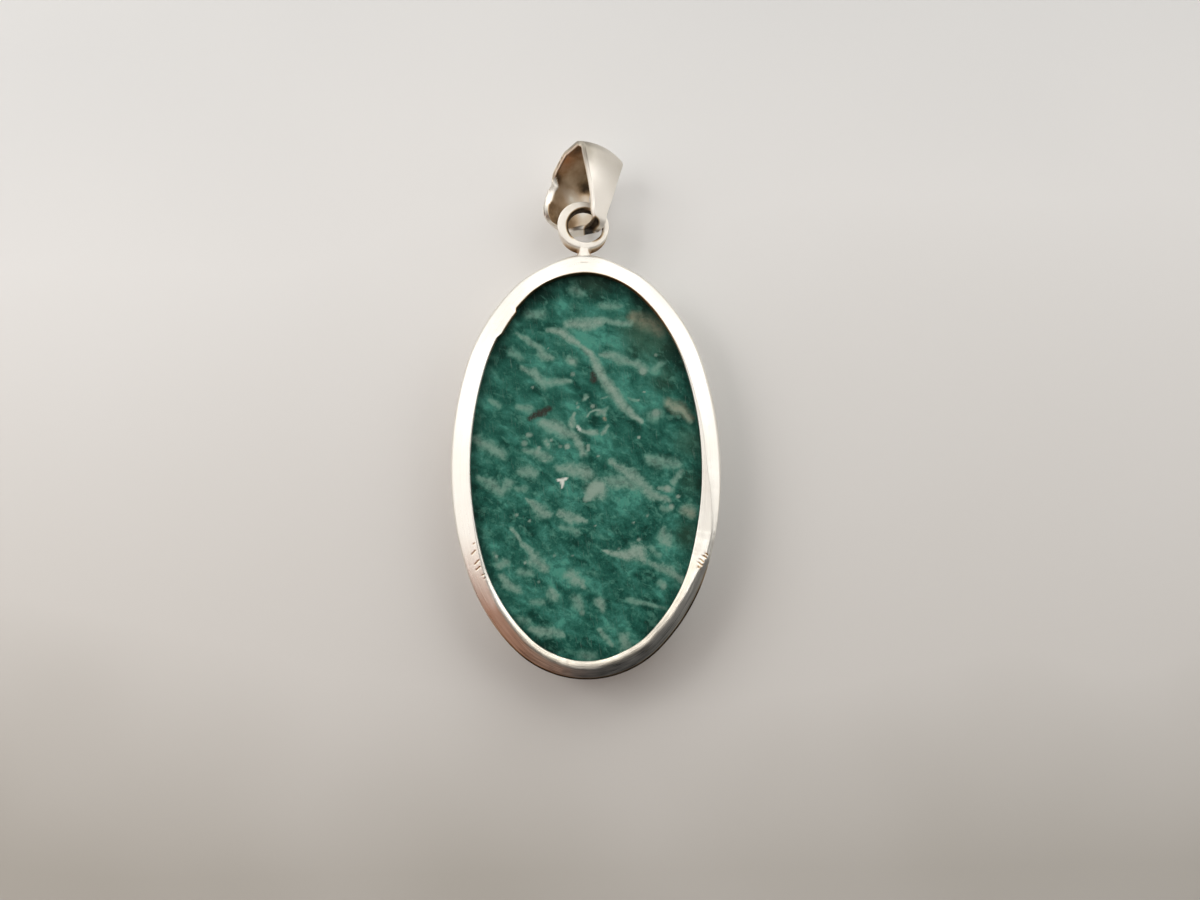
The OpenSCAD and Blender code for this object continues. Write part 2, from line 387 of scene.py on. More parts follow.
def stone_material():
    """Teal-green stone with deep and light clouds, speckled pale streaks, painted glints, painted shade along
    the rim and a matte polish.
    """
    n = Nodes("amazonite")
    along = n.place((0.62, 1.0, 1.0), STREAK_TURN)
    where = n.place()
    broad = n.noise(along, 0.3, 2.0, 0.5, 0.6)
    middle = n.noise(along, 0.85, 3.0, 0.55, 0.5)
    small = n.noise(where, 2.2, 3.0, 0.55, 0.3)
    fine = n.noise(where, 5.5, 3.0, 0.6)
    dust = n.noise(where, 13.0, 2.0, 0.6)
    veil = n.noise(along, 1.4, 4.0, 0.6, 0.6)

    # The stone is softer in its upper half.
    crisp = n.value("crisp")
    grain = n.math("SUBTRACT", n.blend((0.7, small), (0.3, fine)), 0.5)
    grain = n.math("ADD", n.math("MULTIPLY", grain, crisp), 0.5)
    tone = n.blend((0.34, broad), (0.4, middle), (0.26, grain), (0.13, n.value("lift")))
    body = n.ramp(n.map(tone, 0.39, 0.61), BODY_RAMP)
    grit = n.map(n.blend((0.7, fine), (0.3, dust)), 0.38, 0.62, 0.92, 1.08)
    body = n.scaled(body, grit)
    cloud = n.map(n.blend((0.65, veil), (0.35, grain)), 0.53, 0.66, 0.0, 0.7)
    colour = n.mix(cloud, body, CLOUD)
    colour = n.stained("olive", middle, (0.35, 0.65), (0.6, 1.0), colour, OLIVE)

    halo = n.map(n.value("pale"), 0.0, 0.6, 0.0, 0.85)
    colour = n.mix(n.math("MULTIPLY", halo, n.map(small, 0.35, 0.65, 0.3, 1.0), clamp=True), colour, CLOUD)

    # The streaks' edges are broken up where the noise moves the line at which they end.
    ragged = n.math("MULTIPLY", n.map(n.blend((0.65, small), (0.35, fine)), 0.37, 0.63, -0.17, 0.17), crisp)
    worn = n.map(n.blend((0.5, veil), (0.5, small)), 0.35, 0.65, 0.55, 1.12)
    streak = n.math("MULTIPLY", n.map(n.math("ADD", n.value("pale"), ragged), 0.28, 0.88), worn)
    streak = n.math("MULTIPLY", streak, n.value("pale_share"), clamp=True)
    speckle = n.map(n.blend((0.6, fine), (0.4, dust)), 0.36, 0.64, 0.86, 1.1)
    colour = n.mix(streak, colour, n.scaled(PALE, speckle))
    colour = n.stained("sand", small, (0.35, 0.6), (0.5, 1.1), colour, SAND)
    colour = n.stained("grain", dust, (0.35, 0.6), (0.7, 1.1), colour, PALE)
    colour = n.stained("mark", fine, (0.35, 0.55), (0.55, 1.1), colour, MARK)
    colour = n.mix(n.map(dust, 0.66, 0.74, 0.0, 0.35), colour, PALE)
    # Painted highlights: the glints are put in as white.
    colour = n.mix(n.value("glint"), colour, GLINT)
    # Painted shade: the stone darkens near the rim's wall, most at the top.
    corner_shade = n.map(n.value("edge"), 0.0, 1.0, 1.0, 0.0)
    colour = n.scaled(colour, corner_shade)

    scratches = n.noise(n.place((9.0, 0.7, 1.0), -8.0), 1.0, 3.0, 0.6)
    colour = n.mix(n.map(scratches, 0.6, 0.76, 0.0, 0.22), colour, PALE)
    normal = n.relief(fine, 0.00001, 0.2)
    normal = n.relief(scratches, 0.000006, 0.3, normal)
    n.set(Base_Color=colour, Roughness=n.map(middle, 0.3, 0.7, 0.32, 0.42), Normal=normal)
    n.set(Specular_IOR_Level=0.1)
    return n.material


# The table from its near to its far side, darkened at the near side by painted shade: place and colour.
TABLE_RAMP = [
    (0.0, (0.42, 0.4, 0.362)),
    (0.25, (0.612, 0.596, 0.57)),
    (0.7, (0.672, 0.667, 0.655)),
    (1.0, (0.605, 0.606, 0.6)),
]
TABLE_REACH = 45.0


def floor_material():
    """A pale table, a little darker towards the near side by painted shade."""
    n = Nodes("pale_table")
    where = n.place()
    across = n.new("ShaderNodeSeparateXYZ", {0: where}).outputs[1]
    # Painted shade: the table darkens towards the near side.
    tone = n.map(across, -TABLE_REACH, TABLE_REACH)
    tone = n.math("ADD", tone, n.map(n.noise(where, 0.012, 3.0, 0.5), 0.3, 0.7, -0.1, 0.1), clamp=True)
    n.set(Base_Color=n.ramp(tone, TABLE_RAMP), Roughness=0.62)
    return n.material


# Setting: the bezel

# Where the opening's edge bulges inwards: along the oval from one point to the other, and by how much.
BULGE = ((-8.35, 12.4), (-6.7, 15.1), 0.22)
# The rim is pushed with the bulge from this far outside the opening's edge, and wholly from this far.
BULGE_FROM, BULGE_FULL = 1.1, 0.1
# Short file marks and nicks on the rim: start, end, half width and depth.
FILE_MARKS = [
    ((-10.61, -7.53), (-10.48, -7.41), 0.07, 0.05),
    ((-10.76, -8.47), (-10.41, -8.1), 0.07, 0.07),
    ((-10.46, -9.4), (-10.07, -9.0), 0.07, 0.08),
    ((-10.33, -9.92), (-9.96, -9.61), 0.07, 0.08),
    ((-9.79, -10.43), (-9.54, -10.32), 0.06, 0.08),
    ((-9.56, -10.74), (-9.41, -10.65), 0.05, 0.05),
    ((-10.9, -0.91), (-10.79, -1.08), 0.08, 0.1),
    ((6.25, -17.98), (6.62, -17.8), 0.08, 0.06),
    ((5.14, -17.47), (5.8, -17.06), 0.04, 0.03),
    ((5.3, -17.62), (5.95, -17.25), 0.04, 0.03),
    ((10.5, -9.45), (10.82, -9.74), 0.09, 0.14),
    ((10.4, -9.78), (10.68, -10.06), 0.09, 0.14),
    ((10.72, -9.2), (10.95, -9.42), 0.09, 0.13),
    ((11.0, -8.86), (11.21, -9.05), 0.09, 0.14),
    ((11.18, -8.6), (11.34, -8.8), 0.08, 0.12),
]
# The rim by the direction round it in degrees: how far in the opening's edge is, width and fall of the bevel
# inside the crest, the radius of the ridge between bevel and slope, and the radius of the outer shoulder.
RIM_SHAPE = [
    (0, 5, 14, 30, 60, 90, 120, 150, 172, 188, 200, 212, 228, 247, 262, 275, 293, 312, 327, 335, 340, 344,
     347, 350, 353, 356, 360),
    (1.84, 1.84, 1.86, 1.88, 1.79, 1.72, 1.79, 1.91, 2.0, 1.97, 1.85, 1.82, 1.79, 1.75, 1.67, 1.7, 1.82,
     1.71, 1.68, 1.7, 1.72, 1.75, 1.78, 1.8, 1.81, 1.82, 1.84),
    (0.42, 0.32, 0.2, 0.1, 0.08, 0.08, 0.08, 0.08, 0.08, 0.08, 0.28, 0.44, 0.48, 0.58, 0.62, 0.6, 0.54,
     0.5, 0.6, 0.76, 0.94, 1.26, 1.36, 1.22, 1.0, 0.76, 0.42),
    (21, 21, 20, 20, 20, 20, 20, 20, 20, 20, 22, 24, 26, 28, 28, 28, 28, 26, 24, 24, 23, 21, 21, 21, 21,
     21, 21),
    (0.03, 0.03, 0.03, 0.03, 0.03, 0.03, 0.03, 0.03, 0.03, 0.03, 0.22, 0.5, 0.7, 0.75, 0.75, 0.7, 0.62,
     0.5, 0.38, 0.3, 0.22, 0.14, 0.08, 0.06, 0.04, 0.03, 0.03),
    (0.52, 0.58, 0.6, 0.62, 0.62, 0.62, 0.62, 0.62, 0.6, 0.5, 0.4, 0.32, 0.26, 0.24, 0.24, 0.24, 0.24,
     0.24, 0.26, 0.26, 0.24, 0.2, 0.18, 0.2, 0.28, 0.4, 0.52),
]
BEVEL_DROP = 0.05
RING_AT = np.array([0.08, HALF_L + 3.35, 4.6])
# Solder left along the top of the band, beside the ring's neck.
SOLDER_RISE, SOLDER_HALF = 0.45, 4.5
# The radius of the opening's edge at the lower and at the upper half of the oval.
LIP_R = (0.05, 0.14)
# How far the slope is crowned, and points of the plain inner wall and of the flat front.
CROWN = 0.02
INNER_WALL_Z = 3.6
FLAT_FRONT = (0.93, 0.66)
# Points of the band count as above the ledge, or as on it, from this much off its height.
NEAR_LEDGE = 0.05
# Steps between the points round the oval, and the places where they lie closer: across, along, reach.
RIM_STEP, RIM_FINE_STEP = 0.17, 0.05
FINE_PLACES = [
    (-11.4, -8.3, 3.1), (-8.6, 14.6, 2.6), (12.3, -8.6, 1.8), (7.0, -18.4, 2.2), (-12.6, -1.0, 0.6),
]
# The opening's edge wanders in this many waves of this height.
EDGE_WAVES, EDGE_WAVE_H = 7, 0.015
# The bevel's width varies by this share, and by noise of so many grains to a millimetre.
BEVEL_UNEVEN, BEVEL_GRAIN = 0.05, 2.2
# From this height up the rim is uneven by this height, and by noise with grains round the oval and across it.
UPPER_FROM_Z, UNEVEN_H = 4.9, 0.012
UNEVEN_GRAIN, UNEVEN_AT = (9, 0.7), 40
# A file mark's reach as a share of its half width, how deep it goes and how dark it is for its depth.
MARK_REACH, MARK_SINK, MARK_DARK = 1.2, 0.5, 4.5
# How quickly the brushed lines change round the oval.
BRUSH_CHANGE = 4
# Stretches of the rim by direction in degrees, with their soft ends: the edge tinted brown, the side whose
# outer shoulder is painted with shade, and the side that is worn to a creamy white.
BROWN_SIDE = (20, 35, 60, 85)
SHADED_SIDE = (210, 235, 330, 345)
CREAMY_SIDE = (205, 225, 340, 350)


def bezel_section(inset, lip_r, bevel_w, bevel_fall, ridge_r, edge_r):
    """The band's closed section: distance in from the outside and height, from the front edge round."""
    fall, bevel = math.radians(RIM_FALL), math.radians(bevel_fall)
    crest_x, crest_z = inset - bevel_w, CREST_Z - ridge_r - BEVEL_DROP * bevel_w
    rise = math.sin(fall) * (edge_r - crest_x) + ridge_r - edge_r
    shoulder_z = crest_z + rise / math.cos(fall)
    reach = crest_x * math.sin(bevel) + crest_z * math.cos(bevel) + ridge_r - lip_r
    lip_z = (reach - (inset - lip_r) * math.sin(bevel)) / math.cos(bevel)
    front = arc(FRONT_R, FRONT_R, FRONT_R, 270, -90, 7)
    shoulder = arc(edge_r, shoulder_z, edge_r, 180, -(90 - RIM_FALL), 9)
    crest = arc(crest_x, crest_z, ridge_r, 90 + RIM_FALL, -(RIM_FALL + bevel_fall), 7)
    lip = arc(inset - lip_r, lip_z, lip_r, 90 - bevel_fall, -(90 - bevel_fall), 5)
    steps = 20
    slope = between(shoulder[-1], crest[0], steps)
    crown = CROWN * np.sin(math.pi * np.arange(1, steps) / steps)
    slope = slope + crown[:, None] * [-math.sin(fall), math.cos(fall)]
    wall = between(front[-1], shoulder[0], 8)
    back = between(crest[-1], lip[0], 7)
    inner = [
        (inset, LEDGE_Z), (WALL_T, LEDGE_Z), (WALL_T, INNER_WALL_Z), (WALL_T, FRONT_T), (FRONT_W, FRONT_T),
        (FRONT_W, FRONT_EDGE),
    ]
    flat = [(x, 0) for x in (FRONT_W - FRONT_EDGE, *FLAT_FRONT)]
    return np.concatenate([front, wall, shoulder, slope, crest, back, lip, inner, flat])


def bulged(section, inset, by):
    """The section with its crest and inner edge pushed inwards."""
    push = by * smoothstep(inset - BULGE_FROM, inset - BULGE_FULL, section[:, 0])
    section[:, 0] += np.where(section[:, 1] > LEDGE_Z - NEAR_LEDGE, push, 0)
    return section


def along_segment(points, a, b):
    """Each point's distance from a segment, and how far along it lies, 0 to 1."""
    a, b = np.asarray(a, float), np.asarray(b, float)
    d = b - a
    t = np.clip(((points - a) @ d) / max(d @ d, TINY), 0, 1)
    return np.linalg.norm(points - (a + t[:, None] * d), axis=1), t


def bulge_at(inner):
    """How far the opening's edge bulges inwards at its points."""
    a, b, swell = np.array(BULGE[0]), np.array(BULGE[1]), BULGE[2]
    t = (inner - a) @ (b - a) / ((b - a) @ (b - a))
    near = np.linalg.norm(inner - (a + b) / 2, axis=1) < np.linalg.norm(b - a)
    return np.where(near, swell * plateau(t, -0.1, 0.15, 0.9, 1.03), 0)


def cut_file_marks(points):
    """Sink the file marks into the rim, and say how dark they are at its points."""
    dark = np.zeros(len(points))
    for a, b, r, depth in FILE_MARKS:
        off, _ = along_segment(points[:, :2], a, b)
        cut = np.where(points[:, 2] > LEDGE_Z + NEAR_LEDGE, bump(off, r * MARK_REACH), 0)
        points[:, 2] -= MARK_SINK * depth * cut
        dark = np.maximum(dark, MARK_DARK * depth * cut)
    return dark


def rim_colours(section, into_lip, toward, upper, swell):
    """Tarnish and painted shade, their warmth and how streaky the silver is, at the points of the rim's
    sections.
    """
    far_in, height = section[:, :, 0], section[:, :, 1]
    lip = smoothstep(0.0, 0.7, into_lip) * (height > LEDGE_Z - NEAR_LEDGE)
    brown = plateau(toward, *BROWN_SIDE) + smoothstep(0.0, 0.15, swell)
    dark = plateau(toward, *SHADED_SIDE)
    creamy = smoothstep(0.9, 1.3, far_in) * (height > LEDGE_Z)
    outside = smoothstep(0.24, 0.08, far_in) * smoothstep(5.3, 5.6, height)
    # Painted shade: the opening's edge in the upper half, tinted brown at the upper right and at the bulge,
    # and the outer shoulder along the shaded side.
    tarnish_and_shade = lip * (upper * (0.6 - 0.15 * brown))[:, None] + 0.95 * outside * dark[:, None]
    tarnish_and_shade = tarnish_and_shade + 0.06 * creamy * plateau(toward, *CREAMY_SIDE)[:, None]
    ember = lip * (0.4 * upper * brown)[:, None]
    return tarnish_and_shade.ravel(), ember.ravel(), np.repeat(dark, section.shape[1])


def make_bezel(material):
    spots, ways = oval_spots(RIM_STEP, FINE_PLACES, RIM_FINE_STEP)
    angle = np.arctan2(ways[:, 1], ways[:, 0])
    toward = np.degrees(angle) % 360
    inset, *shape = read_off(RIM_SHAPE, toward)
    built_up = SOLDER_RISE * smoothstep(SOLDER_HALF, 0, np.abs(spots[:, 0] - RING_AT[0])) * (spots[:, 1] > 0)
    inset = inset + EDGE_WAVE_H * np.sin(EDGE_WAVES * np.radians(toward) + 1.0) + built_up
    spots = spots + ways * built_up[:, None]
    length = np.cumsum(np.linalg.norm(np.diff(spots, axis=0, prepend=spots[:1]), axis=1))
    uneven = Noise(8)(length * BEVEL_GRAIN, np.full(len(length), 3.5))
    shape[0] = shape[0] * (1 + BEVEL_UNEVEN * uneven * smoothstep(0.3, 0.6, shape[0]))
    swell = bulge_at(spots - ways * inset[:, None])
    upper = smoothstep(0.25, 0.7, ways[:, 1])
    lip_r = part_way(LIP_R, upper)
    section = np.array([
        bulged(bezel_section(edge, *rest), edge, by) for by, edge, *rest in zip(swell, inset, lip_r, *shape)
    ])
    rows, cols = section.shape[:2]
    points = np.concatenate([spots[:, None] - section[:, :, :1] * ways[:, None], section[:, :, 1:]], 2)
    points = points.reshape(-1, 3)
    steps = np.linalg.norm(np.diff(section, axis=1), axis=2)
    run = np.cumsum(np.pad(steps, ((0, 0), (1, 0))), axis=1)
    brush = np.concatenate([run[:, :, None], np.repeat(ways[:, None] * BRUSH_CHANGE, cols, 1)], 2)
    round_grain, cross_grain = UNEVEN_GRAIN
    uneven = Noise(5)(np.repeat(angle, cols) * round_grain + UNEVEN_AT, run.ravel() * cross_grain)
    points[:, 2] += np.where(points[:, 2] > UPPER_FROM_Z, UNEVEN_H * uneven, 0)
    marks = cut_file_marks(points)
    points[:, 2] = np.minimum(points[:, 2], CREST_Z + CROWN)
    into_lip = (section[:, :, 0] - (inset + swell - lip_r)[:, None]) / lip_r[:, None]
    tarnish_and_shade, ember, streaky = rim_colours(section, into_lip, toward, upper, swell)
    values = {
        "brush": brush.reshape(-1, 3),
        "across": np.repeat(np.pad(ways, ((0, 0), (0, 1))), cols, 0),
        "tarnish_and_shade": np.maximum(tarnish_and_shade, marks),
        "ember": ember,
        "streaky": streaky,
    }
    return make_mesh("bezel", points, ring_quads(rows, cols), material, values)


# Setting: the ring and its neck

RING_H = 1.1
RING_ROWS = 144
NECK_Z = 4.72
NECK_Y = (HALF_L - 0.55, HALF_L + 1.17)
# Half the neck's width and height beside the ring, and what they grow by towards the band, with this power.
NECK_W, NECK_FLARE, FLARE_POWER = 0.54, 1.25, 2.2
NECK_H, NECK_H_FLARE, H_FLARE_POWER = 0.6, 0.68, 1.5
NECK_STEPS, NECK_AROUND = 14, 40
# The skin round ring and neck: its grain and how often it is smoothed.
SKIN_GRAIN, SKIN_PASSES = 0.055, 3


def turn(axis, degrees):
    return np.array(Matrix.Rotation(math.radians(degrees), 3, axis))


RING_TURN = turn("Y", 9) @ turn("X", -2)
# The wire's shape by the angle round the ring: the radius of the hole and the outer radius above and below.
RING_SHAPE = [
    (0, 30, 60, 90, 120, 150, 180, 210, 240, 270, 300, 330, 360),
    (1.88, 1.86, 1.82, 1.78, 1.7, 1.64, 1.62, 1.6, 1.58, 1.56, 1.62, 1.76, 1.88),
    (2.48, 2.5, 2.55, 2.6, 2.66, 2.7, 2.68, 2.58, 2.38, 2.27, 2.34, 2.43, 2.48),
    (2.5, 2.5, 2.5, 2.5, 2.52, 2.54, 2.55, 2.55, 2.54, 2.53, 2.52, 2.5, 2.5),
]


def ring_section(hole, top, foot):
    """The wire's section, from its upper outer edge round to the hole: radius and height."""
    e, h = min(0.15, (top - hole) * 0.3), RING_H / 2
    return np.concatenate([
        arc(top - e, h - e, e, 0, 90, 5),
        arc(hole + e, h - e, e, 90, 90, 5),
        arc(hole + e, -h + e, e, 180, 90, 5),
        arc(foot - e, -h + e, e, 270, 90, 5),
    ])


def ring_wire():
    """Points and faces of the ring's wire."""
    a = 360 * np.arange(RING_ROWS) / RING_ROWS
    sections = [ring_section(*row) for row in zip(*read_off(RING_SHAPE, a))]
    cos, sin = np.cos(np.radians(a)), np.sin(np.radians(a))
    points = np.array([[(r * c, r * s, z) for r, z in section] for section, c, s in zip(sections, cos, sin)])
    quads = [q[::-1] for q in ring_quads(RING_ROWS, points.shape[1])]
    return points.reshape(-1, 3) @ RING_TURN.T + RING_AT, quads


def ring_neck():
    """Points and faces of the neck of solder, which flares towards the band."""
    t = np.linspace(0, 1, NECK_STEPS)
    half_w = NECK_W + NECK_FLARE * (1 - t) ** FLARE_POWER
    half_h = NECK_H + NECK_H_FLARE * (1 - t) ** H_FLARE_POWER
    b = 2 * math.pi * np.arange(NECK_AROUND) / NECK_AROUND
    boxy = (np.abs(np.cos(b)) ** 3 + np.abs(np.sin(b)) ** 3) ** (-1 / 3)
    points = np.stack([
        RING_AT[0] + half_w[:, None] * (boxy * np.cos(b)),
        np.repeat(part_way(NECK_Y, t)[:, None], NECK_AROUND, 1),
        NECK_Z + half_h[:, None] * (boxy * np.sin(b)),
    ], 2).reshape(-1, 3)
    first = list(range(NECK_AROUND))
    last = [k + len(points) - NECK_AROUND for k in reversed(first)]
    return points, [*ring_quads(NECK_STEPS, NECK_AROUND, closed_rows=False), first, last]


def skin(name, points, faces, material):
    """One smooth mesh round bodies that overlap."""
    rough = make_mesh("rough_" + name, points, faces, material)
    remesh = rough.modifiers.new("fuse", "REMESH")
    remesh.mode = "VOXEL"
    remesh.voxel_size = SKIN_GRAIN * MM
    smooth = rough.modifiers.new("flow", "SMOOTH")
    smooth.factor = 0.5
    smooth.iterations = SKIN_PASSES
    bpy.context.view_layer.update()
    mesh = bpy.data.meshes.new_from_object(rough.evaluated_get(bpy.context.evaluated_depsgraph_get()))
    bpy.data.objects.remove(rough)
    mesh.name = name
    mesh.polygons.foreach_set("use_smooth", [True] * len(mesh.polygons))
    return mesh


def ring_values(points):
    """Tarnish and painted shade, their warmth, and the roughness at points of the ring and its neck."""
    x, y, z = ((points - RING_AT) @ RING_TURN).T
    radial = np.hypot(x, y)
    around = np.degrees(np.arctan2(y, x)) % 360
    hole, top, _ = read_off(RING_SHAPE, around)
    below = smoothstep(0.5, 0.3, z)
    neck = smoothstep(1.75, 2.05, radial) * smoothstep(0.85, 0.6, np.abs(x)) * (y < 0)
    low = smoothstep(-0.7, -1.5, y) * smoothstep(0.45, 0.75, np.abs(x))
    foot = smoothstep(top - 0.02, top + 0.12, radial) * below * low
    inner = smoothstep(hole + 0.16, hole + 0.05, radial) * below
    shaded = plateau(around, 60, 95, 205, 235) + 0.7 * bump(around - 322, 32)
    shaded = shaded * smoothstep(hole + 0.3, hole + 0.12, radial)
    to_band = np.clip((NECK_Y[1] - points[:, 1]) / (NECK_Y[1] - NECK_Y[0]), 0, 1)
    half_w = NECK_W + NECK_FLARE * to_band**FLARE_POWER
    flank = smoothstep(-0.2, 0.0, np.abs(points[:, 0] - RING_AT[0]) - half_w) * smoothstep(-2.2, -2.5, y)
    # Painted shade: foot is the ring's lower outer edge, inner the lower edge of its hole and shaded its
    # inner wall; flank is tarnish on the neck's sides.
    tarnish_and_shade = 0.58 * foot * (1 - neck) + np.maximum(0.85 * inner, 0.82 * shaded) + 0.35 * flank
    return {
        "tarnish_and_shade": np.clip(tarnish_and_shade, 0, 1),
        "ember": 0.25 * flank + 0.15 * foot,
        "rough": 1.0 + 0.2 * neck,
    }


def make_top_ring(material):
    """The soldered ring and its neck, run together as solder does."""
    wire, wire_faces = ring_wire()
    neck, neck_faces = ring_neck()
    faces = wire_faces + [[len(wire) + k for k in face] for face in neck_faces]
    mesh = skin("top_ring", np.concatenate([wire, neck]), faces, material)
    points = np.array([v.co for v in mesh.vertices]) / MM + [0, MIDDLE_Y, 0]
    for key, v in ring_values(points).items():
        put_values(mesh, key, v)
    return add_object("top_ring", mesh)


# Stone

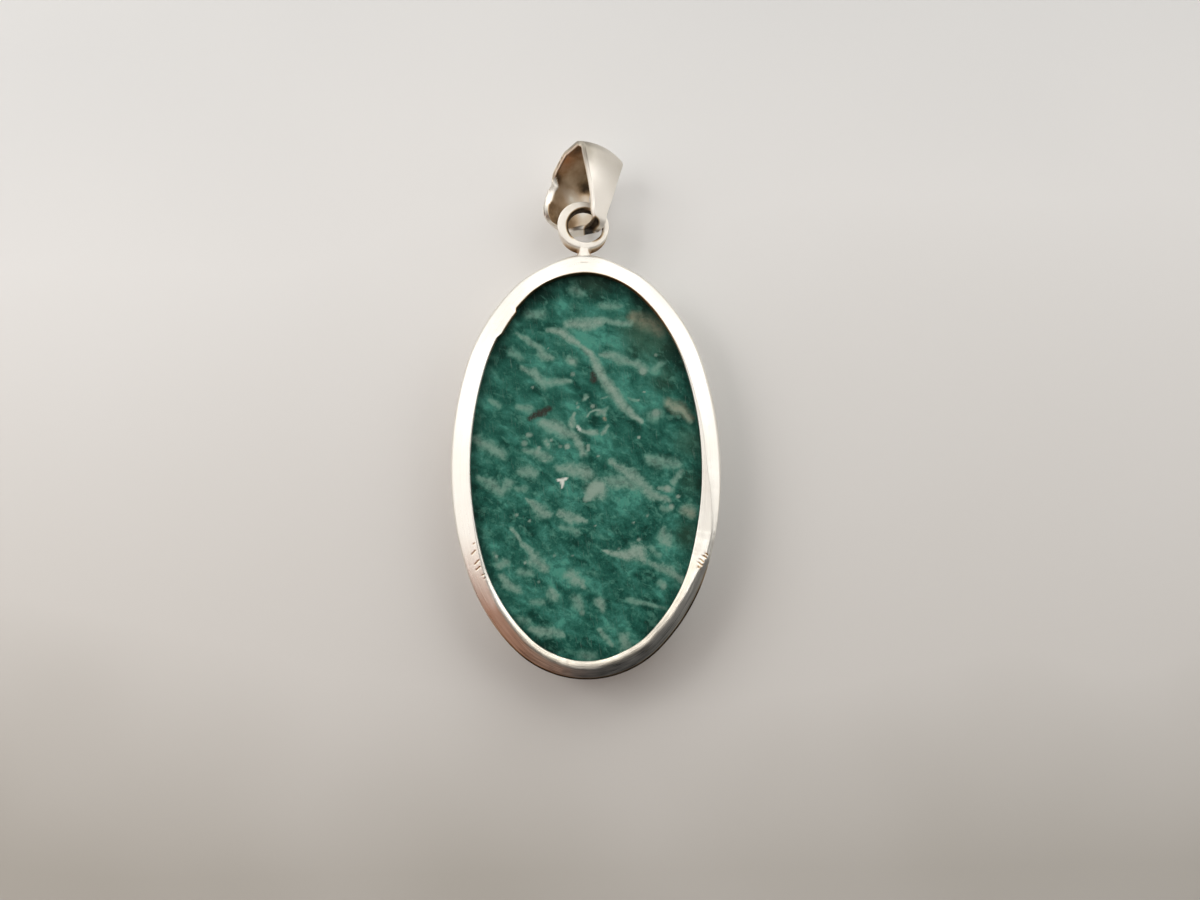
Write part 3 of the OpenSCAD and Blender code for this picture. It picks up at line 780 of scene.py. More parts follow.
# Pale streaks and patches: strength, then points along the streak with their half width.
STREAKS = [
    (0.8, [(-1.4, 13.6, 0.43), (0.0, 13.6, 0.58), (1.4, 13.7, 0.43)]),
    (0.5, [(1.6, 14.0, 0.22), (3.0, 13.7, 0.29), (4.5, 13.6, 0.25)]),
    (0.9, [(-3.5, 13.1, 0.2), (-2.3, 12.9, 0.34), (-1.4, 12.2, 0.34), (-0.3, 11.4, 0.25), (0.6, 10.6, 0.27),
           (1.1, 9.7, 0.33), (1.5, 8.8, 0.38), (2.2, 7.7, 0.43), (2.9, 6.6, 0.4), (3.5, 5.6, 0.42),
           (4.3, 4.9, 0.38), (5.3, 4.1, 0.22)]),
    (0.55, [(1.5, 10.6, 0.22), (2.8, 10.5, 0.33), (3.7, 9.9, 0.4), (4.8, 9.7, 0.33), (5.8, 8.9, 0.4)]),
    (0.5, [(-6.5, 12.8, 0.11), (-5.4, 12.0, 0.18), (-4.3, 11.3, 0.25), (-4.0, 10.5, 0.4),
           (-3.1, 10.3, 0.22)]),
    (0.55, [(-6.0, 9.4, 0.22), (-5.0, 8.9, 0.33), (-4.3, 8.2, 0.33), (-3.8, 7.7, 0.36), (-2.7, 8.0, 0.29),
            (-1.4, 7.9, 0.18)]),
    (0.4, [(-1.4, 10.0, 0.33), (-0.9, 9.8, 0.29)]),
    (0.35, [(-9.3, 6.4, 0.14), (-8.3, 5.7, 0.22)]),
    (0.45, [(-6.3, 5.5, 0.25), (-5.2, 5.3, 0.33)]),
    (0.7, [(-4.0, 4.0, 0.43), (-3.1, 3.6, 0.65), (-2.1, 3.1, 0.54), (-0.9, 2.6, 0.33), (-0.1, 0.9, 0.36)]),
    (0.6, [(-1.2, 3.8, 0.25), (-1.1, 4.6, 0.18)]),
    (0.75, [(-0.8, 3.7, 0.14), (-0.5, 3.4, 0.11)]),
    (0.55, [(0.5, 3.0, 0.22), (1.1, 2.9, 0.14)]),
    (0.5, [(1.3, 4.8, 0.22), (2.0, 5.2, 0.18), (1.9, 4.6, 0.11)]),
    (0.45, [(0.2, 6.7, 0.14), (-0.1, 6.1, 0.14)]),
    (0.45, [(8.0, 5.8, 0.25), (8.8, 5.2, 0.29), (9.7, 4.5, 0.22), (10.1, 3.9, 0.14)]),
    (0.5, [(-10.5, 2.6, 0.25), (-9.2, 1.7, 0.51), (-7.9, 0.9, 0.4)]),
    (0.45, [(-5.7, 1.4, 0.22), (-4.2, 0.9, 0.43), (-3.3, 0.5, 0.29)]),
    (0.4, [(6.0, 0.4, 0.36), (7.3, 0.0, 0.51), (8.8, -0.2, 0.4)]),
    (0.3, [(-1.1, 17.0, 0.33), (-0.3, 16.7, 0.29)]),
    (0.3, [(1.6, 15.3, 0.25), (3.0, 15.3, 0.33), (3.7, 15.4, 0.18)]),
    (0.3, [(-5.4, 14.5, 0.36), (-4.0, 14.5, 0.4)]),
    (0.3, [(6.7, 8.9, 0.25), (7.4, 9.6, 0.29)]),
    (0.35, [(6.5, 4.5, 0.47), (7.2, 4.8, 0.36)]),
    (0.3, [(-3.8, 2.2, 0.25), (-3.5, 1.6, 0.18)]),
    (0.35, [(4.2, 6.2, 0.11), (5.1, 6.0, 0.09)]),
    (0.3, [(-7.0, 10.9, 0.33), (-6.1, 10.4, 0.25)]),
    (0.5, [(-6.0, -0.6, 0.36), (-5.4, -0.7, 0.54), (-4.8, -0.9, 0.29)]),
    (0.65, [(-2.6, -0.5, 0.33), (-1.3, -0.6, 0.54), (0.2, -0.9, 0.54)]),
    (0.8, [(0.2, -3.2, 0.3), (0.7, -2.6, 0.75), (1.3, -2.4, 0.8)]),
    (0.45, [(-10.2, -1.3, 0.25), (-9.0, -1.9, 0.43), (-8.0, -2.6, 0.4), (-7.2, -1.7, 0.33)]),
    (0.3, [(-6.7, -2.3, 0.25), (-5.8, -2.3, 0.29)]),
    (0.7, [(-5.7, -3.2, 0.09), (-4.9, -3.8, 0.33), (-4.3, -4.4, 0.54), (-3.6, -4.8, 0.29)]),
    (0.75, [(-2.6, -4.7, 0.29), (-1.7, -5.1, 0.47), (-0.1, -5.5, 0.22)]),
    (0.65, [(2.4, 0.3, 0.22), (3.3, -0.4, 0.36), (4.4, -1.4, 0.62), (5.3, -2.1, 0.47), (6.3, -3.0, 0.43),
            (7.8, -3.6, 0.25)]),
    (0.5, [(2.3, -1.7, 0.47), (3.3, -1.8, 0.54), (4.2, -2.1, 0.43)]),
    (0.9, [(1.5, -8.2, 0.07), (2.7, -8.5, 0.25), (3.9, -8.7, 0.43), (4.9, -8.5, 0.72), (5.5, -9.3, 0.18)]),
    (0.6, [(5.9, -9.4, 0.22), (7.1, -9.9, 0.4), (8.1, -10.4, 0.4), (9.1, -11.2, 0.22)]),
    (0.55, [(7.2, -6.4, 0.29), (7.4, -7.1, 0.51), (7.8, -7.9, 0.25)]),
    (0.45, [(9.2, -4.4, 0.33), (10.0, -4.7, 0.47)]),
    (0.5, [(7.4, -2.4, 0.29), (7.9, -2.5, 0.29)]),
    (0.45, [(8.3, -1.8, 0.22), (9.1, -0.9, 0.22)]),
    (0.35, [(7.2, -4.4, 0.25), (8.2, -4.3, 0.18)]),
    (0.65, [(-7.0, -6.1, 0.18), (-6.2, -7.1, 0.14), (-5.5, -8.0, 0.25), (-4.9, -9.0, 0.58),
            (-3.9, -9.8, 0.36)]),
    (0.5, [(-8.3, -9.5, 0.29), (-7.6, -9.3, 0.36)]),
    (0.35, [(-6.2, -10.2, 0.36), (-5.3, -10.3, 0.29)]),
    (0.5, [(-8.2, -10.5, 0.25), (-7.4, -11.1, 0.4), (-6.5, -11.8, 0.33)]),
    (0.65, [(-1.6, -10.4, 0.43), (-1.0, -11.0, 0.47), (-0.2, -11.7, 0.18)]),
    (0.6, [(-3.5, -11.9, 0.29), (-3.1, -12.6, 0.4)]),
    (0.35, [(-5.0, -13.1, 0.29), (-4.2, -13.1, 0.25)]),
    (0.4, [(-1.1, -12.8, 0.36), (-0.6, -13.5, 0.36)]),
    (0.65, [(1.2, -13.1, 0.43), (1.5, -13.8, 0.25)]),
    (0.35, [(3.9, -12.9, 0.29), (5.6, -13.2, 0.14), (7.4, -13.8, 0.11)]),
    (0.55, [(-5.2, -15.6, 0.25), (-3.9, -15.7, 0.4), (-2.3, -16.0, 0.25)]),
    (0.5, [(1.0, -15.5, 0.14), (1.7, -16.4, 0.25), (2.3, -17.2, 0.14)]),
    (0.55, [(3.4, -16.4, 0.47), (3.6, -17.1, 0.51)]),
    (0.3, [(-0.4, -18.0, 0.4), (0.5, -18.1, 0.36)]),
    (0.3, [(-6.2, -14.6, 0.33), (-5.5, -14.9, 0.33)]),
    (0.3, [(6.8, -11.4, 0.25), (7.3, -11.6, 0.25)]),
    (0.3, [(-2.4, -5.9, 0.18), (-0.9, -6.5, 0.25)]),
    (0.28, [(6.2, -8.1, 0.25), (6.9, -8.7, 0.22)]),
    (0.3, [(-8.7, -8.4, 0.18), (-8.5, -9.0, 0.18)]),
    (0.9, [(0.15, 4.53, 0.1), (0.48, 4.98, 0.1), (0.97, 5.22, 0.12), (1.49, 5.11, 0.18),
           (1.85, 4.81, 0.21)]),
    (0.8, [(-0.38, 3.25, 0.15), (0.28, 3.09, 0.21), (1.02, 3.08, 0.18)]),
    (0.7, [(1.53, 2.84, 0.15), (1.93, 3.1, 0.21), (2.17, 3.62, 0.15)]),
    (0.9, [(-1.33, 3.88, 0.24), (-1.22, 4.33, 0.21), (-0.95, 4.85, 0.12)]),
    (0.8, [(-0.13, 6.1, 0.13), (0.32, 6.47, 0.13)]),
    (0.6, [(1.57, 6.2, 0.07), (2.17, 6.49, 0.07)]),
    (0.8, [(-4.15, 0.37, 0.08), (-3.59, 0.39, 0.09), (-3.37, 0.73, 0.07)]),
]
# Small round grains: place, radius and strength.
GRAINS = [
    (0.9, -2.3, 0.58, 0.75), (0.5, -2.75, 0.42, 0.75), (1.35, -2.25, 0.45, 0.75), (0.0, -3.4, 0.26, 0.65),
    (0.35, -3.35, 0.22, 0.65), (-0.65, 5.44, 0.13, 0.7), (-0.75, 5.81, 0.1, 0.7), (0.75, 5.52, 0.19, 0.7),
    (-3.26, 2.28, 0.13, 0.7), (-3.58, 1.91, 0.15, 0.7), (-3.77, 2.21, 0.12, 0.6), (-1.72, 1.67, 0.24, 0.9),
    (0.27, 1.67, 0.18, 0.8), (0.26, 1.35, 0.15, 0.8), (1.21, 0.71, 0.12, 0.8), (-5.46, 2.83, 0.21, 0.7),
    (-5.24, 2.82, 0.18, 0.6), (-4.44, 1.56, 0.18, 0.7), (5.12, 6.03, 0.09, 1.0), (5.72, 6.85, 0.09, 1.0),
    (6.9, 10.44, 0.13, 0.6), (5.13, 2.46, 0.15, 1.0), (-4.99, 7.44, 0.12, 0.8), (-1.2, 9.87, 0.25, 0.6),
    (-1.13, 8.66, 0.21, 0.5), (-3.48, 11.26, 0.07, 0.8), (6.79, 4.82, 0.33, 0.6), (5.61, 8.87, 0.33, 0.7),
    (-2.38, 1.68, 0.15, 0.5), (-5.83, 2.02, 0.27, 0.5), (-4.59, 1.19, 0.21, 0.5), (7.75, -2.5, 0.3, 0.8),
    (8.75, -3.25, 0.16, 0.9), (8.08, -4.19, 0.22, 0.8), (-6.59, -4.8, 0.15, 0.7), (-5.35, -5.39, 0.13, 0.8),
    (-5.81, -9.29, 0.13, 1.0), (-8.49, -8.68, 0.13, 0.8), (4.96, -7.27, 0.15, 0.8),
    (4.48, -5.67, 0.09, 1.0), (0.83, -5.91, 0.07, 1.0), (6.94, -2.42, 0.15, 0.6), (-3.05, -8.68, 0.13, 0.5),
    (5.8, -5.03, 0.1, 0.7), (3.06, -8.11, 0.1, 0.6), (-1.31, -8.7, 0.09, 0.6), (-4.51, -11.11, 0.12, 0.5),
    (7.2, -11.69, 0.27, 0.45), (-0.49, -14.02, 0.24, 0.4),
]
# Sandy spots, dark marks and white glints, the glints being painted highlights: strength, then points with
# their half width.
SAND_SPOTS = [
    (0.42, [(4.7, 14.2, 0.45), (6.3, 13.62, 0.75), (7.2, 12.9, 0.55)]),
    (0.42, [(7.99, 5.85, 0.4), (9.16, 5.09, 0.5), (10.02, 4.33, 0.4)]),
    (0.35, [(9.5, -4.6, 0.4), (10.0, -4.8, 0.4)]),
    (1.0, [(1.84, 4.29, 0.12), (1.9, 4.2, 0.1)]),
]
DARK_MARKS = [
    (1.0, [(0.88, 8.66, 0.24), (0.98, 8.11, 0.34)]),
    (1.0, [(-5.18, 4.5, 0.26), (-4.68, 4.79, 0.33), (-4.12, 4.93, 0.26), (-3.5, 5.28, 0.27)]),
    (0.4, [(-0.3, 11.0, 0.15), (0.3, 10.5, 0.15)]),
]
GLINTS = [
    (0.85, [(-2.65, -1.5, 0.12), (-2.23, -1.54, 0.17), (-1.79, -1.4, 0.09)]),
    (0.85, [(-2.23, -1.57, 0.21), (-2.24, -2.3, 0.07)]),
    (0.6, [(-0.7, 3.55, 0.12), (-0.48, 3.25, 0.12)]),
]
# Patches that are lighter (above 0) or deeper (below 0) than the rest: place, radius and amount.
TONE_PATCHES = [
    ((0.3, 12.0), 1.9, 0.9), ((-2.1, 15.0), 1.5, 0.5), ((3.3, 7.9), 1.4, 0.3), ((1.4, 2.2), 1.5, 0.6),
    ((-2.8, -10.3), 1.8, 0.4), ((4.0, -2.7), 1.6, 0.4), ((0.9, 4.1), 0.75, -1.0), ((-3.7, 16.5), 2.0, -0.9),
    ((8.4, 10.4), 2.6, -1.0), ((8.6, 4.9), 1.3, -0.8), ((-1.0, -7.1), 1.3, -0.4), ((3.1, -7.0), 1.2, -0.4),
    ((-3.9, -16.7), 1.8, -0.7), ((-9.6, 3.9), 1.4, -0.5), ((6.5, 15.5), 2.4, -1.0),
    ((-7.6, 14.0), 1.2, -0.6), ((7.6, 7.6), 1.2, -0.6), ((-6.3, 2.6), 1.6, 0.3), ((6.0, -15.0), 1.4, -0.6),
    ((0.5, 17.2), 2.4, -0.8), ((-7.3, 10.6), 1.8, -0.8), ((5.0, 10.8), 1.5, -0.7), ((4.6, 12.8), 1.5, -0.6),
    ((-9.6, -4.4), 1.4, -0.6), ((-5.0, -14.6), 2.2, -0.9), ((-1.2, -17.0), 1.6, -0.5),
    ((9.3, -6.5), 1.2, -0.6), ((-1.2, 5.0), 1.5, 0.6), ((3.0, 1.2), 1.5, 0.7), ((-1.2, -8.5), 1.1, 0.6),
    ((4.2, -10.7), 1.6, 0.5), ((-3.3, -6.5), 1.3, 0.5), ((-7.5, -2.3), 1.2, -0.4), ((6.0, -2.5), 1.0, -0.3),
    ((-0.6, -4.4), 1.2, -0.3), ((4.2, 7.6), 1.0, -0.4),
]
# Patches that are stained olive: place, radius and amount.
OLIVE_PATCHES = [
    ((6.2, 12.6), 3.4, 0.75), ((9.9, 2.0), 1.8, 0.55), ((9.9, -2.0), 1.6, 0.4), ((9.6, -7.0), 1.8, 0.55),
    ((1.0, 18.4), 2.6, 0.6), ((7.6, 8.2), 1.8, 0.4),
]
# A patch's whole reach as a share of its radius.
PATCH_REACH = 1.25
# The streaks are bent by noise of two grains: how far, and how many to a millimetre.
BENDS = [(0.14, 1.3), (0.06, 3.6)]
# The place that the oval's middle has in that noise.
NOISE_FROM = 50
# Columns and rows of points on the stone's back, and how far its edge falls from which share of the way out.
BACK_GRID = (176, 288)
EDGE_FALL, EDGE_FROM = 0.06, 0.985
# Rings of points down the stone's side, the first this far down, and over its dome, as shares of its outline.
SIDE_RINGS, SIDE_TOP = 3, 0.1
DOME_RINGS = [1.0, 0.9, 0.75, 0.6, 0.45, 0.3, 0.15, 0.05]


def streak_field(x, y, streaks):
    """Nearness to the nearest streak, 1 on its middle line and 0.5 at its edge, and its strength."""
    nearness, total, weight = np.zeros((3, len(x)))
    p = np.stack([x, y], 1)
    for strength, nodes in streaks:
        best = np.zeros(len(x))
        for (ax, ay, aw), (bx, by, bw) in zip(nodes, nodes[1:]):
            d, t = along_segment(p, (ax, ay), (bx, by))
            best = np.maximum(best, 1 - 0.5 * d / (aw + (bw - aw) * t))
        nearness = np.maximum(nearness, best)
        total += strength * best**4
        weight += best**4
    return nearness, total / np.maximum(weight, TINY)


def spot_field(x, y, spots, soft):
    """The strongest of the spots at each point, 0 to 1, fading over the share soft of their half width."""
    total = np.zeros(len(x))
    for strength, nodes in spots:
        nearness, _ = streak_field(x, y, [(strength, nodes)])
        total = np.maximum(total, strength * smoothstep(0.5 - 0.5 * soft, 0.5 + 0.5 * soft, nearness))
    return total


def square_to_disc(u, v):
    return u * np.sqrt(1 - v * v / 2), v * np.sqrt(1 - u * u / 2)


def oval_reach(angle, inset):
    """Distance from the middle to the oval, less inset, in each direction."""
    spots, ways = oval_spots(0.05)
    spots = spots - ways * inset
    at = np.arctan2(spots[:, 1], spots[:, 0])
    order = np.argsort(at)
    far = np.hypot(spots[:, 0], spots[:, 1])[order]
    return np.interp(angle, at[order], far, period=2 * math.pi)


def dome_z(x, y):
    """Height of the stone's domed front."""
    side_r = (HALF_W - STONE_INSET) ** 2 / (2 * DOME_H)
    end_r = (HALF_L - STONE_INSET) ** 2 / (2 * DOME_H)
    r = side_r - end_r + np.sqrt(end_r**2 - y**2)
    return DOME_CLEAR + side_r - np.sqrt(np.maximum(r**2 - x**2, 0))


def make_stone(material):
    """A fine grid for the flat back, whose edge runs down the side to the coarser domed front."""
    cols, rows = BACK_GRID
    u, v = np.meshgrid(np.linspace(-1, 1, cols), np.linspace(-1, 1, rows))
    dx, dy = square_to_disc(u.ravel(), v.ravel())
    r = np.hypot(dx, dy)
    far = oval_reach(np.arctan2(dy * HALF_L, dx * HALF_W), STONE_INSET)
    scale = r * far / np.maximum(np.hypot(dx * HALF_W, dy * HALF_L), TINY)
    z = STONE_BACK - EDGE_FALL * smoothstep(EDGE_FROM, 1.0, r)
    back = np.stack([dx * HALF_W * scale, dy * HALF_L * scale, z], 1)
    at = np.arange(rows * cols).reshape(rows, cols)
    last = [*at[0], *at[1:, -1], *at[-1, -2::-1], *at[-2:0:-1, 0]]
    outline, parts, base = back[last], [back], len(back)
    quads = ring_quads(rows, cols, False, False)
    for k, share in enumerate([1.0] * SIDE_RINGS + DOME_RINGS):
        ring = outline * [share, share, 1]
        top, low = STONE_BACK - SIDE_TOP, dome_z(ring[:, 0], ring[:, 1])
        ring[:, 2] = part_way((top, low), min(k / SIDE_RINGS, 1))
        ids = list(range(base, base + len(ring)))
        quads += zip(last, ids, np.roll(ids, -1), np.roll(last, -1))
        parts.append(ring)
        last, base = ids, base + len(ring)
    parts.append([[0, 0, dome_z(0, 0)]])
    quads += [(a, base, b) for a, b in zip(last, np.roll(last, -1))]
    points = np.concatenate(parts)
    seen = STONE_INSET + (1 - r) * far - RIM_W
    upper = smoothstep(0.0, 0.95, dy)
    # Painted shade along the rim's wall, reaching further in and darker towards the top.
    corner_shade = part_way(CORNER_SHADE, upper) * smoothstep(part_way(CORNER_SHADE_W, upper), 0, seen)
    corner_shade = np.pad(corner_shade, (0, len(points) - len(back)))
    return make_mesh("gem", points, quads, material, stone_values(points, corner_shade))


def stone_values(points, corner_shade):
    """The values at the stone's points that its material mixes its colours by."""
    x, y = points[:, 0], points[:, 1]
    bent = np.stack([x, y])
    for seed, (by, grain) in zip((11, 13), BENDS):
        at = (x * grain + NOISE_FROM, y * grain + NOISE_FROM)
        bent += by * np.stack([Noise(seed)(*at), Noise(seed + 1)(*at)])

    def patches(rows):
        return [h * bump(np.hypot(bent[0] - px, bent[1] - py), r * PATCH_REACH) for (px, py), r, h in rows]

    pale, share = streak_field(*bent, STREAKS)
    grains = [(strength, [(gx, gy, r), (gx + 0.01, gy, r)]) for gx, gy, r, strength in GRAINS]
    on_back = points[:, 2] > STONE_BACK - 2 * SIDE_TOP
    return {
        "pale": pale * on_back,
        "pale_share": share,
        "sand": spot_field(*bent, SAND_SPOTS, 1.0) * on_back,
        "grain": spot_field(x, y, grains, 0.35) * on_back,
        "mark": spot_field(*bent, DARK_MARKS, 0.6) * on_back,
        "glint": spot_field(x, y, GLINTS, 0.3) * on_back,
        "crisp": 0.5 + 0.5 * smoothstep(5, -3, y),
        "lift": np.clip(np.sum(patches(TONE_PATCHES), 0), -1, 1),
        "olive": np.max(patches(OLIVE_PATCHES), 0),
        "edge": corner_shade,
    }


# Bail

BAIL_T = 0.55
BAIL_EDGE_R = 0.1
BAIL_L = 5.5
BAIL_W = 5.5
BAIL_TIP_W = 1.8
BAIL_STRIP_W = 1.35
BAIL_DEPTH = 3.4
BAIL_WAIST_W = 4.9
BAIL_AT = np.array([1.04, HALF_L + 4.79, 5.12])
BAIL_TURN = turn("Z", -3.6) @ turn("X", -2.3) @ turn("Y", 45)
# The back leaf lies above a line of the side view: its depth at the ring's end and its rise along the bail.
LEAF_SPLIT, LEAF_RISE = -2.5, 0.5
# How far the leaves are dished, the back one and the front one, and how far the front one's lip is curled.
LEAF_DISH = (0.42, 0.25)
LIP_CURL = 0.3
# The band's points: their spacing along the belt, their number across it, and how far its outline is eased.
BELT_STEP, BAIL_FACES = 0.08, 44
EASE_REACH, EASE_WIDTH = 7, 3.0
# The side view is a belt round these discs: along the length, through the depth, radius.
DISCS = [
    (-0.65, 0.0, 1.25), (-0.8, 0.1 - BAIL_DEPTH, 0.8), (BAIL_L - 2.0, -2.44, 1.3),
    (BAIL_L - 0.75, -1.1, 1.28), (BAIL_L, 0.3, 1.01),
]
# The front leaf's lower lobe lies within discs of this table: across, along, radius.
LOBE = [(1.85, 0.45, 1.35), (0.0, 0.75, 2.15), (1.75, 1.85, 1.22)]
# The back leaf's reach to the left and the width of the front leaf's curled lip, by the place along.
BACK_LEFT = [(-1.2, -0.3, 0.6, 2.5, 4.3, BAIL_L), (0.75, 1.12, 1.17, 1.62, 2.2, 2.65)]
LIP_W = [(-0.5, 0.8, 1.4, 3.0, 3.6, 4.2), (0.25, 0.32, 0.62, 0.7, 0.35, 0.12)]
# Tarnish inside the front leaf, with painted shade where the leaf lies under the ring's hole: across, along,
# tarnish with painted shade, and how orange it is.
TARNISH_AND_SHADE_SPOTS = [
    (-2.2, 5.9, 0.8, 0.15), (-2.2, 5.2, 0.26, 0.95), (-2.1, 4.6, 0.4, 0.5), (-2.2, 3.7, 0.82, 0.0),
    (-0.4, 4.8, 0.38, 0.15), (-0.5, 3.9, 0.3, 0.05), (1.65, 3.9, 0.8, 0.0), (1.2, 4.9, 0.5, 0.0),
    (0.0, 2.9, 0.14, 0.1), (0.0, 2.3, 0.03, 0.0), (1.9, 2.9, 0.06, 0.15), (1.5, 1.6, 0.0, 0.0),
    (-1.4, 1.7, 0.34, 0.15), (-2.3, 1.7, 0.36, 0.05), (-2.5, 0.6, 0.66, 0.1), (-1.6, 0.3, 0.45, 0.0),
    (-1.2, 2.9, 0.24, 0.1), (-0.7, 2.4, 0.16, 0.1), (-0.4, -0.9, 0.76, 0.1), (0.2, -0.2, 0.5, 0.1),
    (1.5, -0.8, 0.0, 0.0),
]
# Painted shade in the bend below the ring, as seen from above in the oval's frame: its ends and half width.
BEND_SHADE = ((1.22, 23.62), (0.5, 23.1), 0.37)


def belt_line(step):
    """Points and outward directions along the belt, counter-clockwise in the side view."""
    n = len(DISCS)
    pairs = [(DISCS[i], DISCS[(i + 1) % n]) for i in range(n)]
    angles = [
        math.atan2(b[1] - a[1], b[0] - a[0]) - math.acos((a[2] - b[2]) / math.hypot(b[0] - a[0], b[1] - a[1]))
        for a, b in pairs
    ]
    points, ways = [], []
    for i, ((cx, cy, r), (nx, ny, nr)) in enumerate(pairs):
        start, end = angles[i - 1], angles[i]
        while end < start - TINY:
            end += 2 * math.pi
        count = max(2, math.ceil((end - start) * r / step))
        bend = np.linspace(start, end, count + 1)
        round_disc = np.stack([cx + r * np.cos(bend), cy + r * np.sin(bend)], 1)
        way = np.array([math.cos(angles[i]), math.sin(angles[i])])
        there = np.array([nx, ny]) + nr * way
        straight = between(round_disc[-1], there, max(2, int(np.linalg.norm(there - round_disc[-1]) / step)))
        points += [*round_disc, *straight]
        ways += [*np.stack([np.cos(bend), np.sin(bend)], 1), *[way] * len(straight)]
    return np.array(points), np.array(ways)


def lobe_half(y):
    """Half the width of the front leaf's lobe at a place along it."""
    best = np.zeros(len(y))
    for (ax, ay, ar), (bx, by, br) in ((LOBE[0], LOBE[1]), (LOBE[0], LOBE[2])):
        for t in np.linspace(0, 1, 40):
            cx, cy, r = ax + (bx - ax) * t, ay + (by - ay) * t, ar + (br - ar) * t
            inside = r * r - (y - cy) ** 2
            best = np.maximum(best, np.where(inside > 0, cx + np.sqrt(np.maximum(inside, 0)), 0))
    return best


def bail_reach(p):
    """How far the band reaches to the left and to the right at points of the side view."""
    y, z = p[:, 0], p[:, 1]
    on_back = z > LEAF_SPLIT + LEAF_RISE * y
    left = np.interp(y, *BACK_LEFT)
    right = np.interp(y, [-0.6, 0.2, BAIL_L], [BAIL_STRIP_W, BAIL_TIP_W, BAIL_W]) / 2
    waist = np.interp(y, [0.0, BAIL_L - 1.9, BAIL_L], [BAIL_WAIST_W, BAIL_WAIST_W, BAIL_W]) / 2
    front = np.maximum(lobe_half(y), np.where(y > 0, waist, 0))
    front = np.maximum(front, BAIL_STRIP_W / 2)
    return eased(np.where(on_back, left, front)), eased(np.where(on_back, right, front))


def eased(half):
    """A closed row of half widths with its steps rounded."""
    kernel = np.exp(-0.5 * (np.arange(-EASE_REACH, EASE_REACH + 1) / EASE_WIDTH) ** 2)
    return np.convolve(np.pad(half, EASE_REACH, "wrap"), kernel / kernel.sum(), "valid")


def bail_section(left, right):
    """Closed section of the band: across and down from its outer surface, with softened edges."""
    t, e, faces = BAIL_T, BAIL_EDGE_R, BAIL_FACES
    outer = np.stack([np.linspace(-left + e, right - e, faces), np.zeros(faces)], 1)
    corners = [(right - e, -e, 90), (right - e, e - t, 0), (-left + e, e - t, 270), (-left + e, -e, 180)]
    arcs = [arc(x, z, e, start, -90, 5) for x, z, start in corners]
    return np.concatenate([
        outer, arcs[0][1:], [(right, -t / 2)], arcs[1][:-1],
        outer[::-1] - [0, t], arcs[2][1:], [(-left, -t / 2)], arcs[3][:-1],
    ])


def tarnish_and_shade_at(x, y):
    """Tarnish with painted shade, and its warmth, on the inside of the front leaf, smoothly between the spots
    of the table.
    """
    total, weight = np.zeros((2, len(x))), np.zeros(len(x))
    for sx, sy, *spot in TARNISH_AND_SHADE_SPOTS:
        w = 1 / ((x - sx) ** 2 + (y - sy) ** 2 + 0.06) ** 1.6
        total += np.outer(spot, w)
        weight += w
    return total / weight


def make_bail(material):
    line, ways = belt_line(BELT_STEP)
    left, right = bail_reach(line)
    section = np.array([bail_section(a, b) for a, b in zip(left, right)])
    rows, cols = section.shape[:2]
    across, depth = section[:, :, 0], section[:, :, 1]
    y, z, way_y, way_z = (np.repeat(v[:, None], cols, 1) for v in (*line.T, *ways.T))
    inside = smoothstep(-BAIL_T * 0.6, -BAIL_T * 0.98, depth)
    front = smoothstep(0.1, -0.5, way_z)
    lip = np.interp(y, *LIP_W)
    from_edge = across + left[:, None]
    depth = depth + LIP_CURL * front * smoothstep(lip * 1.15, 0, from_edge) * inside
    middle = (right - left)[:, None] / 2
    hollow = 1 - np.clip(2 * np.abs(across - middle) / (left + right)[:, None], 0, 1) ** 2
    dish = smoothstep(1.0, 5.0, y) * part_way(LEAF_DISH, front)
    depth = depth + dish * (hollow - 0.45 * (1 - front))
    local = np.stack([across, y + way_y * depth, z + way_z * depth], 2).reshape(-1, 3)
    points = local @ BAIL_TURN.T + BAIL_AT

    tarnish_and_shade, ember = tarnish_and_shade_at(*local[:, :2].T)
    past_lip = smoothstep(lip * 0.85, lip * 1.1, from_edge)
    on_leaf = (inside * (0.35 + 0.65 * past_lip)).ravel()
    bare_lip = (front * (1 - past_lip)).ravel()
    # Painted shade on the bend below the ring, where it turns away from the light.
    off, _ = along_segment(points[:, :2], *BEND_SHADE[:2])
    bend_shade = smoothstep(BEND_SHADE[2] * 1.4, BEND_SHADE[2] * 0.7, off) * smoothstep(-0.3, -0.7, local[:, 1])
    edge_tint = 0.13 * front * smoothstep(0.14, 0.04, from_edge) * smoothstep(3.0, 4.0, y)
    # Painted shade on the back leaf's outer face, deeper towards its left and near the fold.
    leftward = 0.6 * smoothstep(1.4, -2.0, local[:, 0]) + 0.4 * smoothstep(-1.4, -2.4, local[:, 0])
    top = smoothstep(2.6, 5.2, local[:, 1]) * smoothstep(LEAF_SPLIT, LEAF_SPLIT + 2, local[:, 2])
    values = {
        "tarnish_and_shade": np.maximum.reduce([tarnish_and_shade * on_leaf * (1 - bare_lip), 0.97 * bend_shade, edge_tint.ravel()]),
        "painted_shade": (1 - inside.ravel()) * (0.28 + 0.72 * leftward) * top,
        "ember": ember * on_leaf * (1 - bend_shade),
    }
    quads = [q[::-1] for q in ring_quads(rows, cols)]
    return make_mesh("bail_band", points, quads, material, values)


# Camera, light and table

AIM = np.array([1.4, 1.22, 6.4])
CAMERA_TILT = 6.0
CAMERA_ROLL = -0.75
CAMERA_FAR = 88.64
LENS_PX = 936.0
PICTURE_W = 1200
SENSOR = 36.0
CLIP = (0.002, 10)
TABLE_HALF = 0.9
WORLD = (0.92, 0.94, 1.0, 1)
WORLD_STRENGTH = 0.03


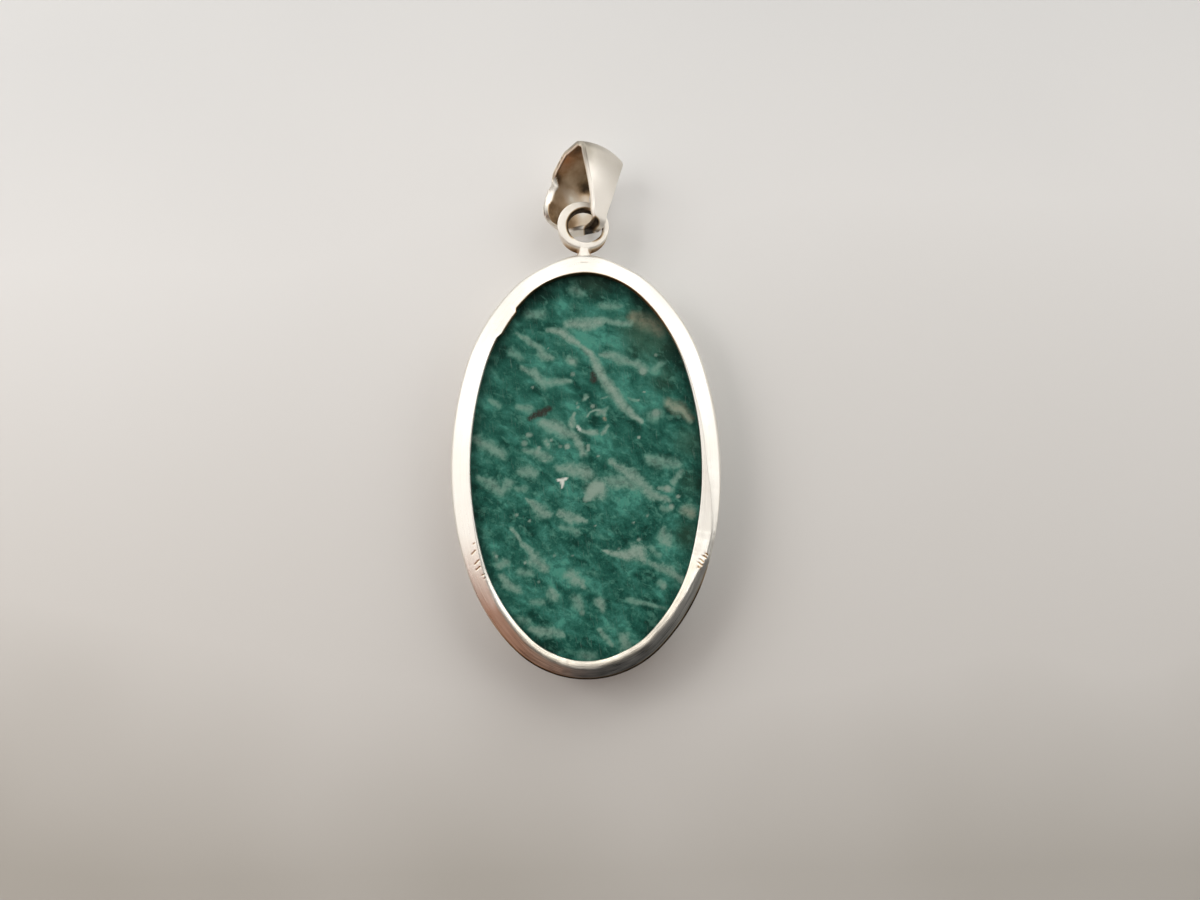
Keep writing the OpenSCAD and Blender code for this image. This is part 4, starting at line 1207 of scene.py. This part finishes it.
def make_camera():
    tilt, roll = math.radians(CAMERA_TILT), math.radians(CAMERA_ROLL)
    back = Vector((0, -math.sin(tilt), math.cos(tilt)))
    up = Vector((0, math.cos(tilt), math.sin(tilt)))
    right = Vector((1, 0, 0))
    right, up = right * math.cos(roll) + up * math.sin(roll), up * math.cos(roll) - right * math.sin(roll)
    data = bpy.data.cameras.new("camera")
    data.sensor_width = SENSOR
    data.lens = SENSOR * LENS_PX / PICTURE_W
    data.clip_start, data.clip_end = CLIP
    camera = add_object("camera", data)
    way = Matrix((right, up, back)).transposed().to_4x4()
    camera.matrix_world = Matrix.Translation(Vector(to_row(AIM)) + back * CAMERA_FAR * MM) @ way
    bpy.context.scene.camera = camera


# Soft lights: name, direction (azimuth from +X, elevation), distance, width, height, roll, radiance, colour.
LIGHTS = [
    ("sky_top", 90, 38, 0.38, 0.3, 0.28, 0, 1.4, (1.0, 0.99, 0.965)),
    ("sky_top_left", 133, 38, 0.38, 0.3, 0.28, 0, 1.4, (1.0, 0.985, 0.96)),
    ("sky_top_right", 49, 38, 0.38, 0.3, 0.28, 0, 1.4, (1.0, 0.985, 0.96)),
    ("sky_left", 173, 41, 0.38, 0.26, 0.34, 0, 1.38, (1.0, 0.98, 0.955)),
    ("sky_right", 12.5, 38, 0.4, 0.28, 0.29, 14, 1.4, (1.0, 0.98, 0.955)),
    ("low_top", 90, 9, 0.42, 0.32, 0.11, 0, 1.25, (1.0, 0.985, 0.96)),
    ("low_top_left", 131, 9, 0.42, 0.3, 0.11, 0, 1.3, (1.0, 0.985, 0.96)),
    ("low_top_right", 49, 9, 0.42, 0.3, 0.11, 0, 1.2, (1.0, 0.98, 0.95)),
    ("low_left", 172, 8, 0.42, 0.34, 0.1, 0, 1.55, (1.0, 0.98, 0.955)),
    ("low_right", 8, 8, 0.42, 0.34, 0.1, 0, 0.98, (1.0, 0.96, 0.92)),
    ("zenith", 90, 84, 0.4, 0.26, 0.28, 0, 0.28, (1.0, 0.95, 0.88)),
    ("ring_key", 52, 62, 0.4, 0.12, 0.1, 0, 1.5, (1.0, 0.985, 0.95)),
    ("warm_edge", 198, 32, 0.4, 0.05, 0.44, 0, 0.38, (1.0, 0.38, 0.2)),
    ("warm_near", 210, 32, 0.4, 0.06, 0.44, 0, 0.4, (1.0, 0.38, 0.18)),
    ("warm_middle", 223, 32, 0.4, 0.09, 0.44, 0, 0.29, (1.0, 0.4, 0.19)),
    ("warm_far", 243, 32, 0.4, 0.14, 0.44, 0, 0.2, (1.0, 0.46, 0.25)),
    ("grey_card", 322, 32, 0.4, 0.15, 0.44, 0, 0.1, (1.0, 0.98, 0.95)),
]
# Soft lights that the metal does not mirror.
FILLS = [
    ("fill_left", 158, 44, 0.25, 0.12, 0.12, 0, 3.2, (1.0, 0.985, 0.96)),
    ("fill_right", 60, 40, 0.25, 0.12, 0.12, 0, 0.6, (1.0, 0.985, 0.96)),
]


def make_light(name, azimuth, elevation, far, width, height, roll, radiance, colour):
    data = bpy.data.lights.new(name, "AREA")
    data.shape = "RECTANGLE"
    data.size, data.size_y = width, height
    data.energy = radiance * math.pi * width * height
    data.color = colour
    a, e = math.radians(azimuth), math.radians(elevation)
    back = Vector((math.cos(a) * math.cos(e), math.sin(a) * math.cos(e), math.sin(e)))
    light = add_object(name, data)
    light.location = back * far
    light.rotation_mode = "QUATERNION"
    light.rotation_quaternion = (-back).to_track_quat("-Z", "Y") @ Quaternion((0, 0, 1), math.radians(roll))
    return light


def make_stage():
    for row in LIGHTS:
        make_light(*row)
    for row in FILLS:
        make_light(*row).visible_glossy = False
    world = bpy.data.worlds.new("studio")
    world.use_nodes = True
    shade = world.node_tree.nodes["Background"]
    shade.inputs["Color"].default_value = WORLD
    shade.inputs["Strength"].default_value = WORLD_STRENGTH
    bpy.context.scene.world = world
    mesh = bpy.data.meshes.new("table")
    corners = [(TABLE_HALF * x, TABLE_HALF * y, 0) for x, y in ((-1, -1), (1, -1), (1, 1), (-1, 1))]
    mesh.from_pydata(corners, [], [(0, 1, 2, 3)])
    mesh.materials.append(floor_material())
    table = add_object("table", mesh)
    bpy.context.scene.view_settings.view_transform = "Standard"


def main():
    brushed = silver_material("brushed_silver", True)
    plain = silver_material("satin_silver", False)
    bezel = make_bezel(brushed)
    ring = make_top_ring(plain)
    gem = make_stone(stone_material())
    bail = make_bail(plain)
    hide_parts("setting")
    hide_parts("stone")
    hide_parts("bail")
    for piece, body, slot in ((bezel, "pendant", "silver"), (ring, "pendant", "silver"),
                              (gem, "pendant", "amazonite"), (bail, "bail", "silver")):
        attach(piece, body)
    make_camera()
    make_stage()


main()
